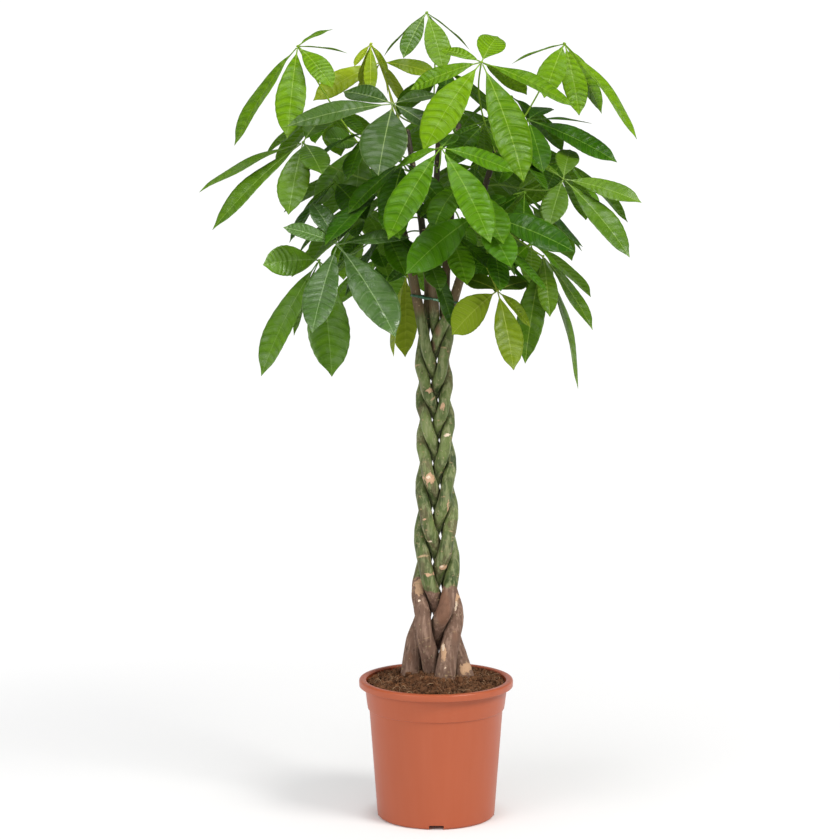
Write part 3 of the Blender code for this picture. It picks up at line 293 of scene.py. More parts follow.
def stem_centres():
    """Centre lines of the five stems: a plait of five strands, eased apart over fixed rounds where they come
    too close.
    """
    table = np.array(PLAIT)
    top_z = max(t[-1][2] for t in TOPS)
    z = np.arange(STEM_FOOT_Z, top_z + FINE_STEP, FINE_STEP)
    half_w = np.interp(z, table[:, 0], table[:, 1])
    half_d = np.interp(z, table[:, 0], table[:, 2])
    radius = np.interp(z, table[:, 0], table[:, 3])
    start = np.interp(z, [0.600, 0.720], [PLAIT_START, PLAIT_START - 0.0110])
    inner = np.maximum(CROSSING ** 2 - 4.0 * TIGHTER * (z - start), 0.0)
    turns = (CROSSING - np.sqrt(inner)) / (2.0 * TIGHTER)
    drift = np.interp(z, [0.22, 0.30, 0.50, 0.60, 0.70, 0.80], [0.0, 0.0010, 0.0004, -0.0004, -0.004, -0.004])
    paths = np.zeros((5, len(z), 3))
    for i in range(5):
        phase = np.radians(180.0 - 72.0 * turns + 72.0 * i)
        swing = np.arcsin(SWEEP * np.sin(phase)) / math.asin(SWEEP)
        x = half_w * swing + drift
        y = half_d * np.sin(2.0 * phase)
        foot_x, foot_y = FEET[i]
        in_plait = (z >= PLAIT_LOW) & (z <= PLAIT_HIGH)
        knots = [(foot_x * 1.06, foot_y * 1.06, STEM_FOOT_Z), (foot_x, foot_y, 0.222)]
        knots += zip(x[in_plait], y[in_plait], z[in_plait])
        knots += TOPS[i]
        slope = np.array(TOPS[i][-1]) - np.array(TOPS[i][-2])
        knots.append(np.array(TOPS[i][-1]) + slope / slope[2] * 0.10)
        knots_x, knots_y, knots_z = zip(*knots)
        paths[i, :, 0] = np.interp(z, knots_z, knots_x)
        paths[i, :, 1] = np.interp(z, knots_z, knots_y)
        paths[i, :, 2] = z
    for turns, share, weight in ((60, 0.0, 0.5), (160, 0.5, 0.12), (90, 0.5, 0.01)):
        for _ in range(turns):
            if share:
                paths = ease_apart(paths, radius, share)
            paths = smooth_lines(paths, weight, z)
    return z, paths, radius


def smooth_lines(paths, weight, z):
    """Smooth along the height, lightly inside the plait and fully outside it."""
    inside = (z > PLAIT_LOW + 0.01) & (z < PLAIT_HIGH - 0.01)
    amount = np.where(inside, weight * 0.25, weight)[None, 1:-1, None]
    out = paths.copy()
    middle = (paths[:, :-2] + paths[:, 2:]) * 0.5
    out[:, 1:-1] = paths[:, 1:-1] * (1.0 - amount) + middle * amount
    out[:, :, 2] = paths[:, :, 2]
    return out


def ease_apart(paths, radius, share):
    """Push any two stems apart, in the horizontal plane, where they are closer than they may be."""
    count = paths.shape[1]
    push = np.zeros_like(paths)
    for a in range(5):
        for b in range(a + 1, 5):
            for shift in range(-10, 11):
                lo = max(0, -shift)
                hi = min(count, count - shift)
                pa = paths[a, lo:hi]
                pb = paths[b, lo + shift:hi + shift]
                need = radius[lo:hi] + radius[lo + shift:hi + shift] + STEM_GAP
                gap = pa - pb
                dist = np.sqrt((gap ** 2).sum(axis=1)) + 1e-9
                lack = np.maximum(need - dist, 0.0)
                flat = gap.copy()
                flat[:, 2] = 0.0
                flat_len = np.sqrt((flat ** 2).sum(axis=1)) + 1e-6
                move = flat / flat_len[:, None] * (lack * share)[:, None]
                here = push[a, lo:hi]
                there = push[b, lo + shift:hi + shift]
                bigger = (move ** 2).sum(axis=1) > (here ** 2).sum(axis=1)
                here[bigger] = move[bigger]
                bigger = (move ** 2).sum(axis=1) > (there ** 2).sum(axis=1)
                there[bigger] = -move[bigger]
    return paths + push


def stem_lines(z, paths, radius):
    """The stations of each stem, as lists of points and radii."""
    lines = []
    radii = []
    for i in range(5):
        top = TOPS[i][-1][2]
        stations = [STEM_FOOT_Z, 0.186, 0.210]
        height = 0.222
        while height < 0.800:
            stations.append(height)
            height += STEM_STEP
        while height < top - 0.012:
            stations.append(height)
            height += STEM_STEP * 1.7
        stations.append(top)
        pts = []
        rad = []
        for s in stations:
            x = float(np.interp(s, z, paths[i, :, 0]))
            y = float(np.interp(s, z, paths[i, :, 1]))
            pts.append(Vector((x, y, s)))
            rad.append(float(np.interp(s, z, radius)) * 1.03)
        lines.append(pts)
        radii.append(rad)
    return lines, radii


# ================================================================ tie
def tie_path(lines, radii, clearance, count):
    """A loop pulled tight round the five stems."""
    spots = []
    for line, rad in zip(lines, radii):
        best = min(range(len(line)), key=lambda j: abs(line[j].z - (TIE_Z + TIE_SLOPE * line[j].x)))
        p = line[best]
        want = TIE_Z + TIE_SLOPE * p.x
        q = line[min(best + 1, len(line) - 1)] if want > p.z else line[max(best - 1, 0)]
        if abs(q.z - p.z) < 1e-6:
            continue
        f = min(max((want - p.z) / (q.z - p.z), 0.0), 1.0)
        spots.append((p + (q - p) * f, rad[best] * 1.10))
    mx = sum(s[0].x for s in spots) / len(spots)
    my = sum(s[0].y for s in spots) / len(spots)
    reach = []
    for k in range(180):
        a = FULL * k / 180.0
        far = max((s[0].x - mx) * math.cos(a) + (s[0].y - my) * math.sin(a) + s[1] for s in spots)
        reach.append(far + clearance)
    loop = []
    for k in range(count):
        a = FULL * k / count
        near = []
        for m in range(180):
            d = FULL * m / 180.0 - a
            c = math.cos(d)
            if c > 0.15:
                near.append(reach[m] / c)
        r = min(near)
        x = mx + r * math.cos(a)
        y = my + r * math.sin(a)
        loop.append(Vector((x, y, TIE_Z + TIE_SLOPE * x)))
    return loop


# ================================================================ leaves
def leaflet_width(s):
    """Half width of a leaflet along its length, as a share of its widest half width."""
    u = (s - STALKLET) / (1.0 - STALKLET)
    if u <= 0.0:
        return 0.0
    return (u ** 1.1) * (max(1.0 - u, 0.0) ** 0.75) / 0.2868


class Leaflet:
    """A leaflet's middle line: a bent line from the hub to the tip, with a level cross direction."""

    def __init__(self, hub, offset, width_factor, bulge, facing, share):
        self.hub = hub
        self.tip = hub + offset
        self.length = offset.length
        level = Vector((offset.x, offset.y, 0.0))
        if level.length < 1e-5:
            level = Vector((0.0, -1.0, 0.0))
        flat_left = UP.cross(level.normalized())
        along = offset.normalized()
        normal = along.cross(flat_left)
        self.bend = hub + offset * 0.5 + normal * (2.0 * bulge * self.length)
        turned = facing.cross(along)
        if turned.length < 0.2:
            turned = flat_left.copy()
        turned.normalize()
        if share < 0.0:
            turned = -turned
        self.left = (flat_left * (1.0 - abs(share)) + turned * abs(share)).normalized()
        self.half = min(max(0.158 * self.length, 0.011), 0.030) * width_factor

    def at(self, s):
        a = (1.0 - s) ** 2
        b = 2.0 * s * (1.0 - s)
        c = s * s
        return self.hub * a + self.bend * b + self.tip * c

    def tangent(self, s):
        d = (self.bend - self.hub) * (1.0 - s) + (self.tip - self.bend) * s
        return d.normalized()

    def section(self, s, thick, extra):
        """Right edge, top of the rib, left edge, underside of the rib."""
        p = self.at(s)
        t = self.tangent(s)
        left = (self.left - t * self.left.dot(t)).normalized()
        n = t.cross(left)
        w = self.half * leaflet_width(s) + extra
        w = max(w, 0.0012)
        rise = FOLD * w
        return [p - left * w + n * rise, p + n * thick, p + left * w + n * rise, p - n * thick]


def strip_faces(loops):
    """Side faces of a run of four-sided loops."""
    faces = []
    for j in range(len(loops) - 1):
        for c in range(4):
            d = (c + 1) % 4
            faces.append((loops[j][c], loops[j][d], loops[j + 1][d]))
            faces.append((loops[j][c], loops[j + 1][d], loops[j + 1][c]))
    return faces


def test_solid(leaflet, margin, start):
    """A thickened copy of a leaflet for the clearance test."""
    verts = []
    loops = []
    for s in (start,) + tuple(q for q in STATIONS if q > start + 0.02):
        loop = []
        for v in leaflet.section(s, RIB_T + margin, margin):
            verts.append(v)
            loop.append(len(verts) - 1)
        loops.append(loop)
    verts.append(leaflet.tip + leaflet.tangent(1.0) * margin)
    tip = len(verts) - 1
    faces = strip_faces(loops)
    for c in range(4):
        faces.append((loops[-1][c], loops[-1][(c + 1) % 4], tip))
    return Solid(verts, faces)


class Solid:
    """Triangles with a bounding box, for fast overlap tests."""

    def __init__(self, verts, faces):
        tri = []
        for f in faces:
            for k in range(1, len(f) - 1):
                tri.append((f[0], f[k], f[k + 1]))
        self.tree = BVHTree.FromPolygons([tuple(v) for v in verts], tri, all_triangles=True)
        self.low = [min(v[c] for v in verts) for c in range(3)]
        self.high = [max(v[c] for v in verts) for c in range(3)]

    def hits(self, other):
        for c in range(3):
            if self.low[c] > other.high[c] or self.high[c] < other.low[c]:
                return False
        return len(self.tree.overlap(other.tree)) > 0


def stalk_points(seat, normal, hub, axis, lift):
    """A bent stalk from its seat on the stem to the underside of the hub."""
    span = (hub - seat).length
    a = seat
    b = seat + normal * (0.10 * span + 0.010) + UP * (lift * span)
    c = hub - axis * (0.30 * span + 0.004)
    d = hub - axis * HUB_DOWN * 2.2
    pts = [a]
    for k in range(1, STALK_RINGS + 1):
        s = k / STALK_RINGS
        p = a * (1 - s) ** 3 + b * (3 * s * (1 - s) ** 2) + c * (3 * s * s * (1 - s)) + d * s ** 3
        pts.append(p)
    return pts


def find_seat(tree, centre, heading):
    """The point and the outward normal on a stem's surface for a heading around it."""
    out = Vector((math.cos(heading), math.sin(heading), 0.0))
    hit, normal, index, dist = tree.ray_cast(centre + out * 0.05, -out)
    return hit, normal


def leaflet_offsets():
    """All the leaves: stem, foot height, hub, arrival direction, tips and their widths and turns."""
    rows = []
    front = Vector((0.0, -1.0, 0.0))
    for stem, foot, hub, axis, tips in LEAVES:
        rows.append((stem, foot * CM, Vector(hub) * CM, axis, [Vector(t[:3]) * CM for t in tips],
                     [(t[3], front, t[4]) for t in tips]))
    for stem, foot, hub, count, reach, drop, first in FANS:
        tips = []
        widths = []
        outward = math.atan2(hub[1], hub[0])
        for k in range(count):
            a = math.radians(first + 360.0 * k / count)
            out = math.cos(a - outward)
            r = reach * (1.0 + 0.18 * out)
            tips.append(Vector((r * math.cos(a), r * math.sin(a), -drop * (1.0 + 0.35 * out))) * CM)
            width = 1.12 + 0.10 * math.sin(2.1 * k + first)
            widths.append((width, Vector((math.cos(outward), math.sin(outward), 0.0)), 0.35))
        rows.append((stem, foot * CM, Vector(hub) * CM, None, tips, widths))
    return rows


def stem_spot(lines, stem, height):
    """The point of a stem's middle line at a height."""
    line = lines[stem]
    height = min(height, line[-1].z - 0.004)
    for j in range(len(line) - 1):
        if line[j].z <= height <= line[j + 1].z:
            f = (height - line[j].z) / (line[j + 1].z - line[j].z)
            return line[j] + (line[j + 1] - line[j]) * f
    return line[-1]


def choices():
    """Changes to try for a leaflet, from the smallest: depth, height, length, bulge."""
    out = []
    for depth in (0.0, 0.012, -0.012, 0.024, -0.024, 0.036, -0.036, 0.050, -0.050, 0.065, -0.065):
        for rise in (0.0, -0.008, 0.008, -0.018, 0.018):
            for scale in (1.0, 0.90, 0.80, 0.70):
                for bulge in (0.035, -0.010, 0.090):
                    cost = abs(depth) / 0.012 + abs(rise) / 0.006 + (1.0 - scale) / 0.035
                    cost += abs(bulge - 0.035) / 0.06 * 0.5
                    out.append((cost, depth, rise, scale, bulge))
    out.sort()
    return out


def around(points, radii):
    """A solid tube for the clearance test."""
    return Solid(*tube(points, radii, 6))


def seat_stalk(stem, foot, hub, axis, lines, tree, blocks, stalks):
    """The first stalk of those tried that is clear of everything, or else the least bad."""
    best = None
    for turn in (0, 40, -40, 80, -80):
        for rise in (0.0, 0.012, -0.012, 0.026, -0.026, 0.040, -0.040):
            for lift in (0.12, 0.28, 0.0, 0.42):
                centre = stem_spot(lines, stem, foot + rise)
                heading = math.atan2(hub.y - centre.y, hub.x - centre.x) + math.radians(turn)
                hit, normal = find_seat(tree, centre, heading)
                if hit is None:
                    continue
                pts = stalk_points(hit + normal * SEAT_GAP, normal, hub, axis, lift)
                knob = [0.0052, 0.0056]
                solid = around(pts + [hub + axis * 0.0035], [STALK_R + 0.0016] * STALK_RINGS + knob)
                late = [pts[0] + (pts[1] - pts[0]) * 0.35] + pts[1:]
                bad = around(late, [STALK_R + 0.0010] * len(late)).hits(blocks[stem])
                bad += sum(solid.hits(other) for k, other in enumerate(blocks) if k != stem)
                bad += sum(solid.hits(other) for other in stalks)
                if best is None or bad < best[0]:
                    best = (bad, normal, pts, solid)
                if bad == 0:
                    return best[1:]
    return best[1:]


def fit_leaflet(hub, tip, width, options, near, others):
    """The first leaflet of those tried that is clear, or else the least bad, with its two test solids."""
    best = None
    for _, depth, rise, scale, bulge in options:
        offset = (tip + Vector((0.0, depth, rise))) * scale
        trial = Leaflet(hub, offset, width[0], bulge, width[1], width[2])
        solid = test_solid(trial, CLEAR, 0.05)
        slim = test_solid(trial, 0.0006, 0.16)
        bad = sum(slim.hits(other) for other in near) + sum(solid.hits(other) for other in others)
        if best is None or bad < best[0]:
            best = (bad, trial, solid, slim)
        if bad == 0:
            break
    return best[1:]


class Leaf:
    """A seated stalk and the leaflets on its hub."""

    def __init__(self, hub, axis, normal, stalk):
        self.hub = hub
        self.axis = axis
        self.normal = normal
        self.stalk = stalk
        self.leaflets = []


def place_leaves(lines, trees, blocks):
    """Seat every stalk, then fit every leaflet clear of all that is already there."""
    rows = leaflet_offsets()
    leaves = []
    stalks = []
    for stem, foot, hub, axis, tips, widths in rows:
        if axis is None:
            axis = UP * 0.85 + Vector((hub.x, hub.y, 0.0)).normalized() * 0.45
        axis = Vector(axis).normalized()
        normal, pts, solid = seat_stalk(stem, foot, hub, axis, lines, trees[stem], blocks, stalks)
        leaves.append(Leaf(hub, axis, normal, pts))
        stalks.append(solid)
    placed = []
    options = choices()
    for number, (leaf, row) in enumerate(zip(leaves, rows)):
        pts = leaf.stalk
        late = pts[:-1] + [pts[-2] + (pts[-1] - pts[-2]) * 0.45]
        near = [around(late, [STALK_R + 0.0010] * len(late))]
        others = blocks + stalks[:number] + stalks[number + 1:] + placed
        for tip, width in zip(row[4], row[5]):
            leaflet, solid, slim = fit_leaflet(leaf.hub, tip, width, options, near, others)
            leaf.leaflets.append(leaflet)
            near.append(slim)
            placed.append(solid)
    return leaves


# ================================================================ node materials
class Nodes:
    """A short way to write a node tree."""

    def __init__(self, tree):
        self.tree = tree
        self.tree.nodes.clear()

    def add(self, kind, inputs=None, **settings):
        node = self.tree.nodes.new(kind)
        for key, value in settings.items():
            setattr(node, key, value)
        for key, value in (inputs or {}).items():
            self.put(node.inputs[key], value)
        return node

    def put(self, socket, value):
        if isinstance(value, bpy.types.NodeSocket):
            self.tree.links.new(value, socket)
        elif isinstance(value, tuple) and len(value) == 3 and socket.type == "RGBA":
            socket.default_value = value + (1.0,)
        else:
            socket.default_value = value

    def math(self, operation, a, b=0.0, clamp=False):
        return self.add("ShaderNodeMath", {0: a, 1: b}, operation=operation, use_clamp=clamp).outputs[0]

    def times(self, a, b):
        return self.math("MULTIPLY", a, b)

    def plus(self, a, b, clamp=False):
        return self.math("ADD", a, b, clamp)

    def minus(self, a, b):
        return self.math("SUBTRACT", a, b)

    def stir(self, value, source, amount):
        """A value moved up and down by a noise around its middle."""
        return self.plus(value, self.times(self.minus(source, 0.5), amount))

    def mix(self, share, a, b, kind="RGBA"):
        """Colours mixed: a where share is 0, b where it is 1."""
        node = self.add("ShaderNodeMix", data_type=kind)
        for name, value in (("Factor", share), ("A", a), ("B", b)):
            self.put(node.inputs[name], value)
        return node.outputs["Result"]

    def blend(self, share, a, b):
        """Numbers mixed in the same way."""
        return self.mix(share, a, b, "FLOAT")

    def ramp(self, value, low, high, to_low=0.0, to_high=1.0):
        node = self.add("ShaderNodeMapRange", {"Value": value, "From Min": low, "From Max": high,
                                               "To Min": to_low, "To Max": to_high},
                        interpolation_type="SMOOTHSTEP")
        return node.outputs["Result"]

    def split(self, vector):
        node = self.add("ShaderNodeSeparateXYZ", {"Vector": vector})
        return node.outputs["X"], node.outputs["Y"], node.outputs["Z"]

    def attribute(self, name):
        return self.add("ShaderNodeAttribute", attribute_name=name).outputs["Vector"]

    def place(self, scale=(1.0, 1.0, 1.0)):
        coords = self.add("ShaderNodeTexCoord").outputs["Object"]
        return self.add("ShaderNodeMapping", {"Vector": coords, "Scale": scale}).outputs["Vector"]

    def noise(self, vector, scale, detail=3.0, rough=0.55, warp=0.0):
        node = self.add("ShaderNodeTexNoise", {"Vector": vector, "Scale": scale, "Detail": detail,
                                               "Roughness": rough, "Distortion": warp})
        return node.outputs["Fac"]

    def cells(self, vector, scale, feature="F1"):
        node = self.add("ShaderNodeTexVoronoi", {"Vector": vector, "Scale": scale}, feature=feature)
        return node.outputs["Distance"]

    def bump(self, height, strength, distance):
        node = self.add("ShaderNodeBump", {"Height": height, "Strength": strength, "Distance": distance})
        return node.outputs["Normal"]

    def finish(self, color, rough, normal=None, glow=None, glow_share=0.0, sheen=None, **sockets):
        shader = self.add("ShaderNodeBsdfPrincipled", {"Base Color": color, "Roughness": rough})
        if normal is not None:
            self.put(shader.inputs["Normal"], normal)
        if sheen is not None:
            self.put(shader.inputs["Specular IOR Level"], sheen)
        for key, value in sockets.items():
            shader.inputs[key.replace("_", " ")].default_value = value
        result = shader.outputs[0]
        if glow is not None:
            back = self.add("ShaderNodeBsdfTranslucent", {"Color": glow})
            both = self.add("ShaderNodeMixShader", {0: glow_share, 1: result, 2: back.outputs[0]})
            result = both.outputs[0]
        self.add("ShaderNodeOutputMaterial", {"Surface": result})


def new_material(name):
    """An empty node material and the helper that fills it."""
    mat = bpy.data.materials.new(name)
    mat.use_nodes = True
    return mat, Nodes(mat.node_tree)


def pot_material():
    """Slightly mottled, semi-matt moulded plastic with a little dirt on the lip."""
    mat, n = new_material("terracotta_plastic")
    place = n.place()
    broad = n.noise(place, 9.0, 3.0)
    fine = n.noise(place, 260.0, 4.0, 0.65)
    flow = n.noise(n.place((14.0, 14.0, 2.0)), 6.0, 2.0)
    color = n.mix(broad, (0.374, 0.076, 0.025), (0.418, 0.088, 0.030))
    color = n.mix(n.times(flow, 0.30), color, (0.460, 0.124, 0.058))
    color = n.mix(n.ramp(fine, 0.60, 0.78, 0.0, 0.16), color, (0.30, 0.070, 0.034))
    height = n.split(n.place())[2]
    dirt = n.times(n.ramp(height, 0.2150, 0.2166), n.ramp(n.noise(place, 60.0, 4.0), 0.52, 0.75))
    color = n.mix(n.times(dirt, 0.35), color, (0.12, 0.06, 0.035))
    rough = n.ramp(broad, 0.25, 0.75, 0.33, 0.43)
    bump = n.bump(n.plus(fine, n.times(flow, 1.5)), 0.12, 0.0004)
    n.finish(color, rough, bump, Specular_IOR_Level=0.40)
    return mat


def soil_material():
    """Dark peat with lighter grains; crumbs differ in tint."""
    mat, n = new_material("peat_soil")
    place = n.place()
    tint, _, high = n.split(n.attribute("tint"))
    broad = n.noise(place, 70.0, 5.0, 0.7)
    grain = n.noise(place, 480.0, 4.0, 0.7)
    color = n.mix(n.ramp(broad, 0.32, 0.68), (0.009, 0.004, 0.002), (0.130, 0.053, 0.024))
    color = n.mix(n.times(tint, 0.75), color, (0.240, 0.104, 0.044))
    color = n.mix(n.ramp(grain, 0.55, 0.72, 0.0, 0.6), color, (0.30, 0.155, 0.078))
    color = n.mix(n.ramp(high, 0.0, 1.0, 0.0, 0.35), color, (0.19, 0.100, 0.052))
    height = n.plus(broad, n.times(grain, 0.6))
    n.finish(color, 0.92, n.bump(height, 0.9, 0.0016), Specular_IOR_Level=0.15)
    return mat


def fibre_material():
    """Dry peat fibres from brown to straw."""
    mat, n = new_material("peat_fibre")
    tint = n.split(n.attribute("tint"))[0]
    grain = n.noise(n.place(), 300.0, 3.0)
    color = n.mix(tint, (0.14, 0.062, 0.030), (0.50, 0.315, 0.180))
    color = n.mix(n.times(grain, 0.5), color, (0.075, 0.036, 0.020))
    n.finish(color, 0.85, n.bump(grain, 0.4, 0.0004), Specular_IOR_Level=0.2)
    return mat


def bark_material():
    """Green bark above, grey-brown corky bark below, with scabs, scars and pale pores, painted shade between
    the stems and under the crown, and pale streaks that are partly a painted highlight.
    """
    mat, n = new_material("bark")
    green, tan, red = n.split(n.attribute("bark"))
    # the scab attribute holds pale marks, painted shade between the stems and under the crown, and leaf-scar
    # rings
    pale, dark, ring = n.split(n.attribute("scab"))
    place = n.place()
    broad = n.noise(place, 26.0, 4.0, 0.6)
    streak = n.noise(n.place((1.0, 1.0, 0.13)), 210.0, 4.0, 0.6)
    fine = n.noise(n.place((1.0, 1.0, 0.45)), 620.0, 3.0, 0.6)
    crack = n.noise(n.place((1.0, 1.0, 0.55)), 170.0, 5.0, 0.62, 0.4)

    leafy = n.mix(n.ramp(broad, 0.28, 0.72), (0.028, 0.052, 0.011), (0.165, 0.215, 0.062))
    worn = n.ramp(n.noise(n.place((1.0, 1.0, 0.40)), 31.0, 4.0, 0.6, 0.5), 0.52, 0.64, 0.0, 0.70)
    leafy = n.mix(worn, leafy, (0.118, 0.086, 0.044))
    # pale yellow-green streaks: partly real bark striation, partly a painted highlight
    leafy = n.mix(n.ramp(streak, 0.44, 0.66, 0.0, 0.75), leafy, (0.265, 0.285, 0.135))
    leafy = n.mix(n.ramp(crack, 0.56, 0.72, 0.0, 0.75), leafy, (0.085, 0.078, 0.034))
    corky = n.mix(broad, (0.088, 0.048, 0.032), (0.268, 0.162, 0.114))
    corky = n.mix(n.ramp(streak, 0.45, 0.68, 0.0, 0.66), corky, (0.370, 0.246, 0.180))
    corky = n.mix(n.ramp(crack, 0.50, 0.74, 0.0, 0.80), corky, (0.066, 0.036, 0.026))
    edge = n.stir(green, crack, 0.9)
    color = n.mix(n.ramp(edge, 0.42, 0.58), corky, leafy)
    redness = n.times(n.ramp(n.stir(red, broad, 0.6),
                                        0.25, 0.75), 0.85)
    color = n.mix(redness, color, n.mix(crack, (0.300, 0.150, 0.090), (0.120, 0.062, 0.040)))
    scab = n.ramp(n.stir(tan, crack, 1.9), 0.42, 0.62)
    color = n.mix(scab, color, n.mix(fine, (0.430, 0.245, 0.135), (0.680, 0.450, 0.285)))
    white = n.ramp(n.stir(pale, fine, 0.8), 0.45, 0.58)
    color = n.mix(white, color, (0.800, 0.640, 0.480))
    # painted shade: near-black between the stems and on the stem tops inside the crown
    color = n.mix(n.times(dark, 0.86), color, (0.020, 0.019, 0.009))
    color = n.mix(n.times(n.ramp(ring, 0.45, 0.75), n.ramp(crack, 0.35, 0.55)), color,
                  (0.420, 0.300, 0.165))
    pores = n.cells(n.place((1.0, 1.0, 0.55)), 165.0)
    pores = n.times(n.ramp(pores, 0.13, 0.20, 1.0, 0.0), n.ramp(broad, 0.40, 0.55))
    color = n.mix(n.times(pores, 0.55), color, (0.400, 0.330, 0.190))
    flecks = n.cells(n.place((1.0, 1.0, 1.7)), 88.0)
    flecks = n.times(n.ramp(flecks, 0.16, 0.26, 1.0, 0.0), n.ramp(n.noise(place, 34.0, 3.0), 0.46, 0.57))
    color = n.mix(n.times(flecks, n.ramp(fine, 0.35, 0.60, 0.15, 0.85)), color, (0.360, 0.255, 0.130))
    height = n.plus(n.times(streak, 0.8), n.times(crack, -0.9))
    height = n.plus(height, n.times(fine, 0.35))
    height = n.plus(height, n.times(scab, 0.9))
    height = n.plus(height, n.times(pores, 0.6))
    rough = n.blend(n.ramp(edge, 0.42, 0.58), 0.82, 0.50)
    n.finish(color, rough, n.bump(height, 0.75, 0.0012), Specular_IOR_Level=0.25)
    return mat


def tie_material():
    """Glossy dark green plastic."""
    mat, n = new_material("green_tie")
    grain = n.noise(n.place(), 190.0, 3.0)
    color = n.mix(grain, (0.005, 0.045, 0.018), (0.022, 0.125, 0.050))
    n.finish(color, n.ramp(grain, 0.3, 0.7, 0.22, 0.38), n.bump(grain, 0.4, 0.0008), Specular_IOR_Level=0.6)
    return mat


def tail_material():
    """Shiny plastic film twisted round a wire."""
    mat, n = new_material("tie_tail")
    grain = n.noise(n.place((1.0, 1.0, 3.0)), 120.0, 3.0)
    color = n.mix(n.ramp(grain, 0.45, 0.62), (0.020, 0.130, 0.060), (0.300, 0.560, 0.400))
    n.finish(color, n.ramp(grain, 0.3, 0.7, 0.18, 0.34), n.bump(grain, 0.3, 0.0006), Specular_IOR_Level=0.7)
    return mat


# name: deep colour, lit colour, underside, rib, shine through, roughness, vein contrast (which also sets the
# painted light and shade on the quilting), sheen
LEAF_LOOKS = {
    "bright": ((0.069, 0.176, 0.001), (0.172, 0.338, 0.002), (0.144, 0.268, 0.008), (0.258, 0.412, 0.041),
               (0.187, 0.374, 0.001), 0.33, 1.25, 0.12),
    "fresh": ((0.036, 0.124, 0.001), (0.111, 0.273, 0.002), (0.113, 0.232, 0.008), (0.206, 0.371, 0.036),
              (0.150, 0.342, 0.001), 0.33, 1.15, 0.10),
    "mid": ((0.048, 0.128, 0.003), (0.146, 0.282, 0.010), (0.134, 0.237, 0.021), (0.247, 0.391, 0.072),
            (0.161, 0.342, 0.003), 0.36, 0.50, 0.28),
    "rich": ((0.020, 0.084, 0.001), (0.074, 0.216, 0.002), (0.088, 0.196, 0.006), (0.175, 0.340, 0.036),
             (0.102, 0.300, 0.001), 0.34, 0.80, 0.10),
    "grey": ((0.023, 0.069, 0.004), (0.061, 0.140, 0.011), (0.113, 0.185, 0.031), (0.258, 0.360, 0.113),
             (0.096, 0.214, 0.003), 0.42, 0.50, 0.26),
    "young": ((0.147, 0.250, 0.003), (0.338, 0.447, 0.011), (0.278, 0.360, 0.026), (0.422, 0.505, 0.052),
              (0.396, 0.535, 0.009), 0.36, 0.50, 0.14),
    "blue": ((0.031, 0.092, 0.008), (0.094, 0.207, 0.026), (0.103, 0.196, 0.031), (0.278, 0.422, 0.154),
             (0.096, 0.246, 0.004), 0.30, 0.70, 0.60),
    "dark": ((0.010, 0.048, 0.0004), (0.055, 0.159, 0.001), (0.072, 0.165, 0.004), (0.144, 0.278, 0.026),
             (0.086, 0.257, 0.001), 0.38, 0.70, 0.07),
    "deep": ((0.038, 0.113, 0.003), (0.140, 0.295, 0.010), (0.113, 0.221, 0.016), (0.237, 0.391, 0.082),
             (0.139, 0.342, 0.003), 0.34, 0.60, 0.32),
    "moss": ((0.042, 0.115, 0.003), (0.131, 0.251, 0.009), (0.154, 0.258, 0.016), (0.268, 0.402, 0.057),
             (0.193, 0.364, 0.003), 0.38, 0.50, 0.20),
    "olive": ((0.036, 0.088, 0.002), (0.213, 0.306, 0.008), (0.185, 0.268, 0.014), (0.309, 0.391, 0.052),
              (0.268, 0.385, 0.004), 0.40, 0.45, 0.14),
}


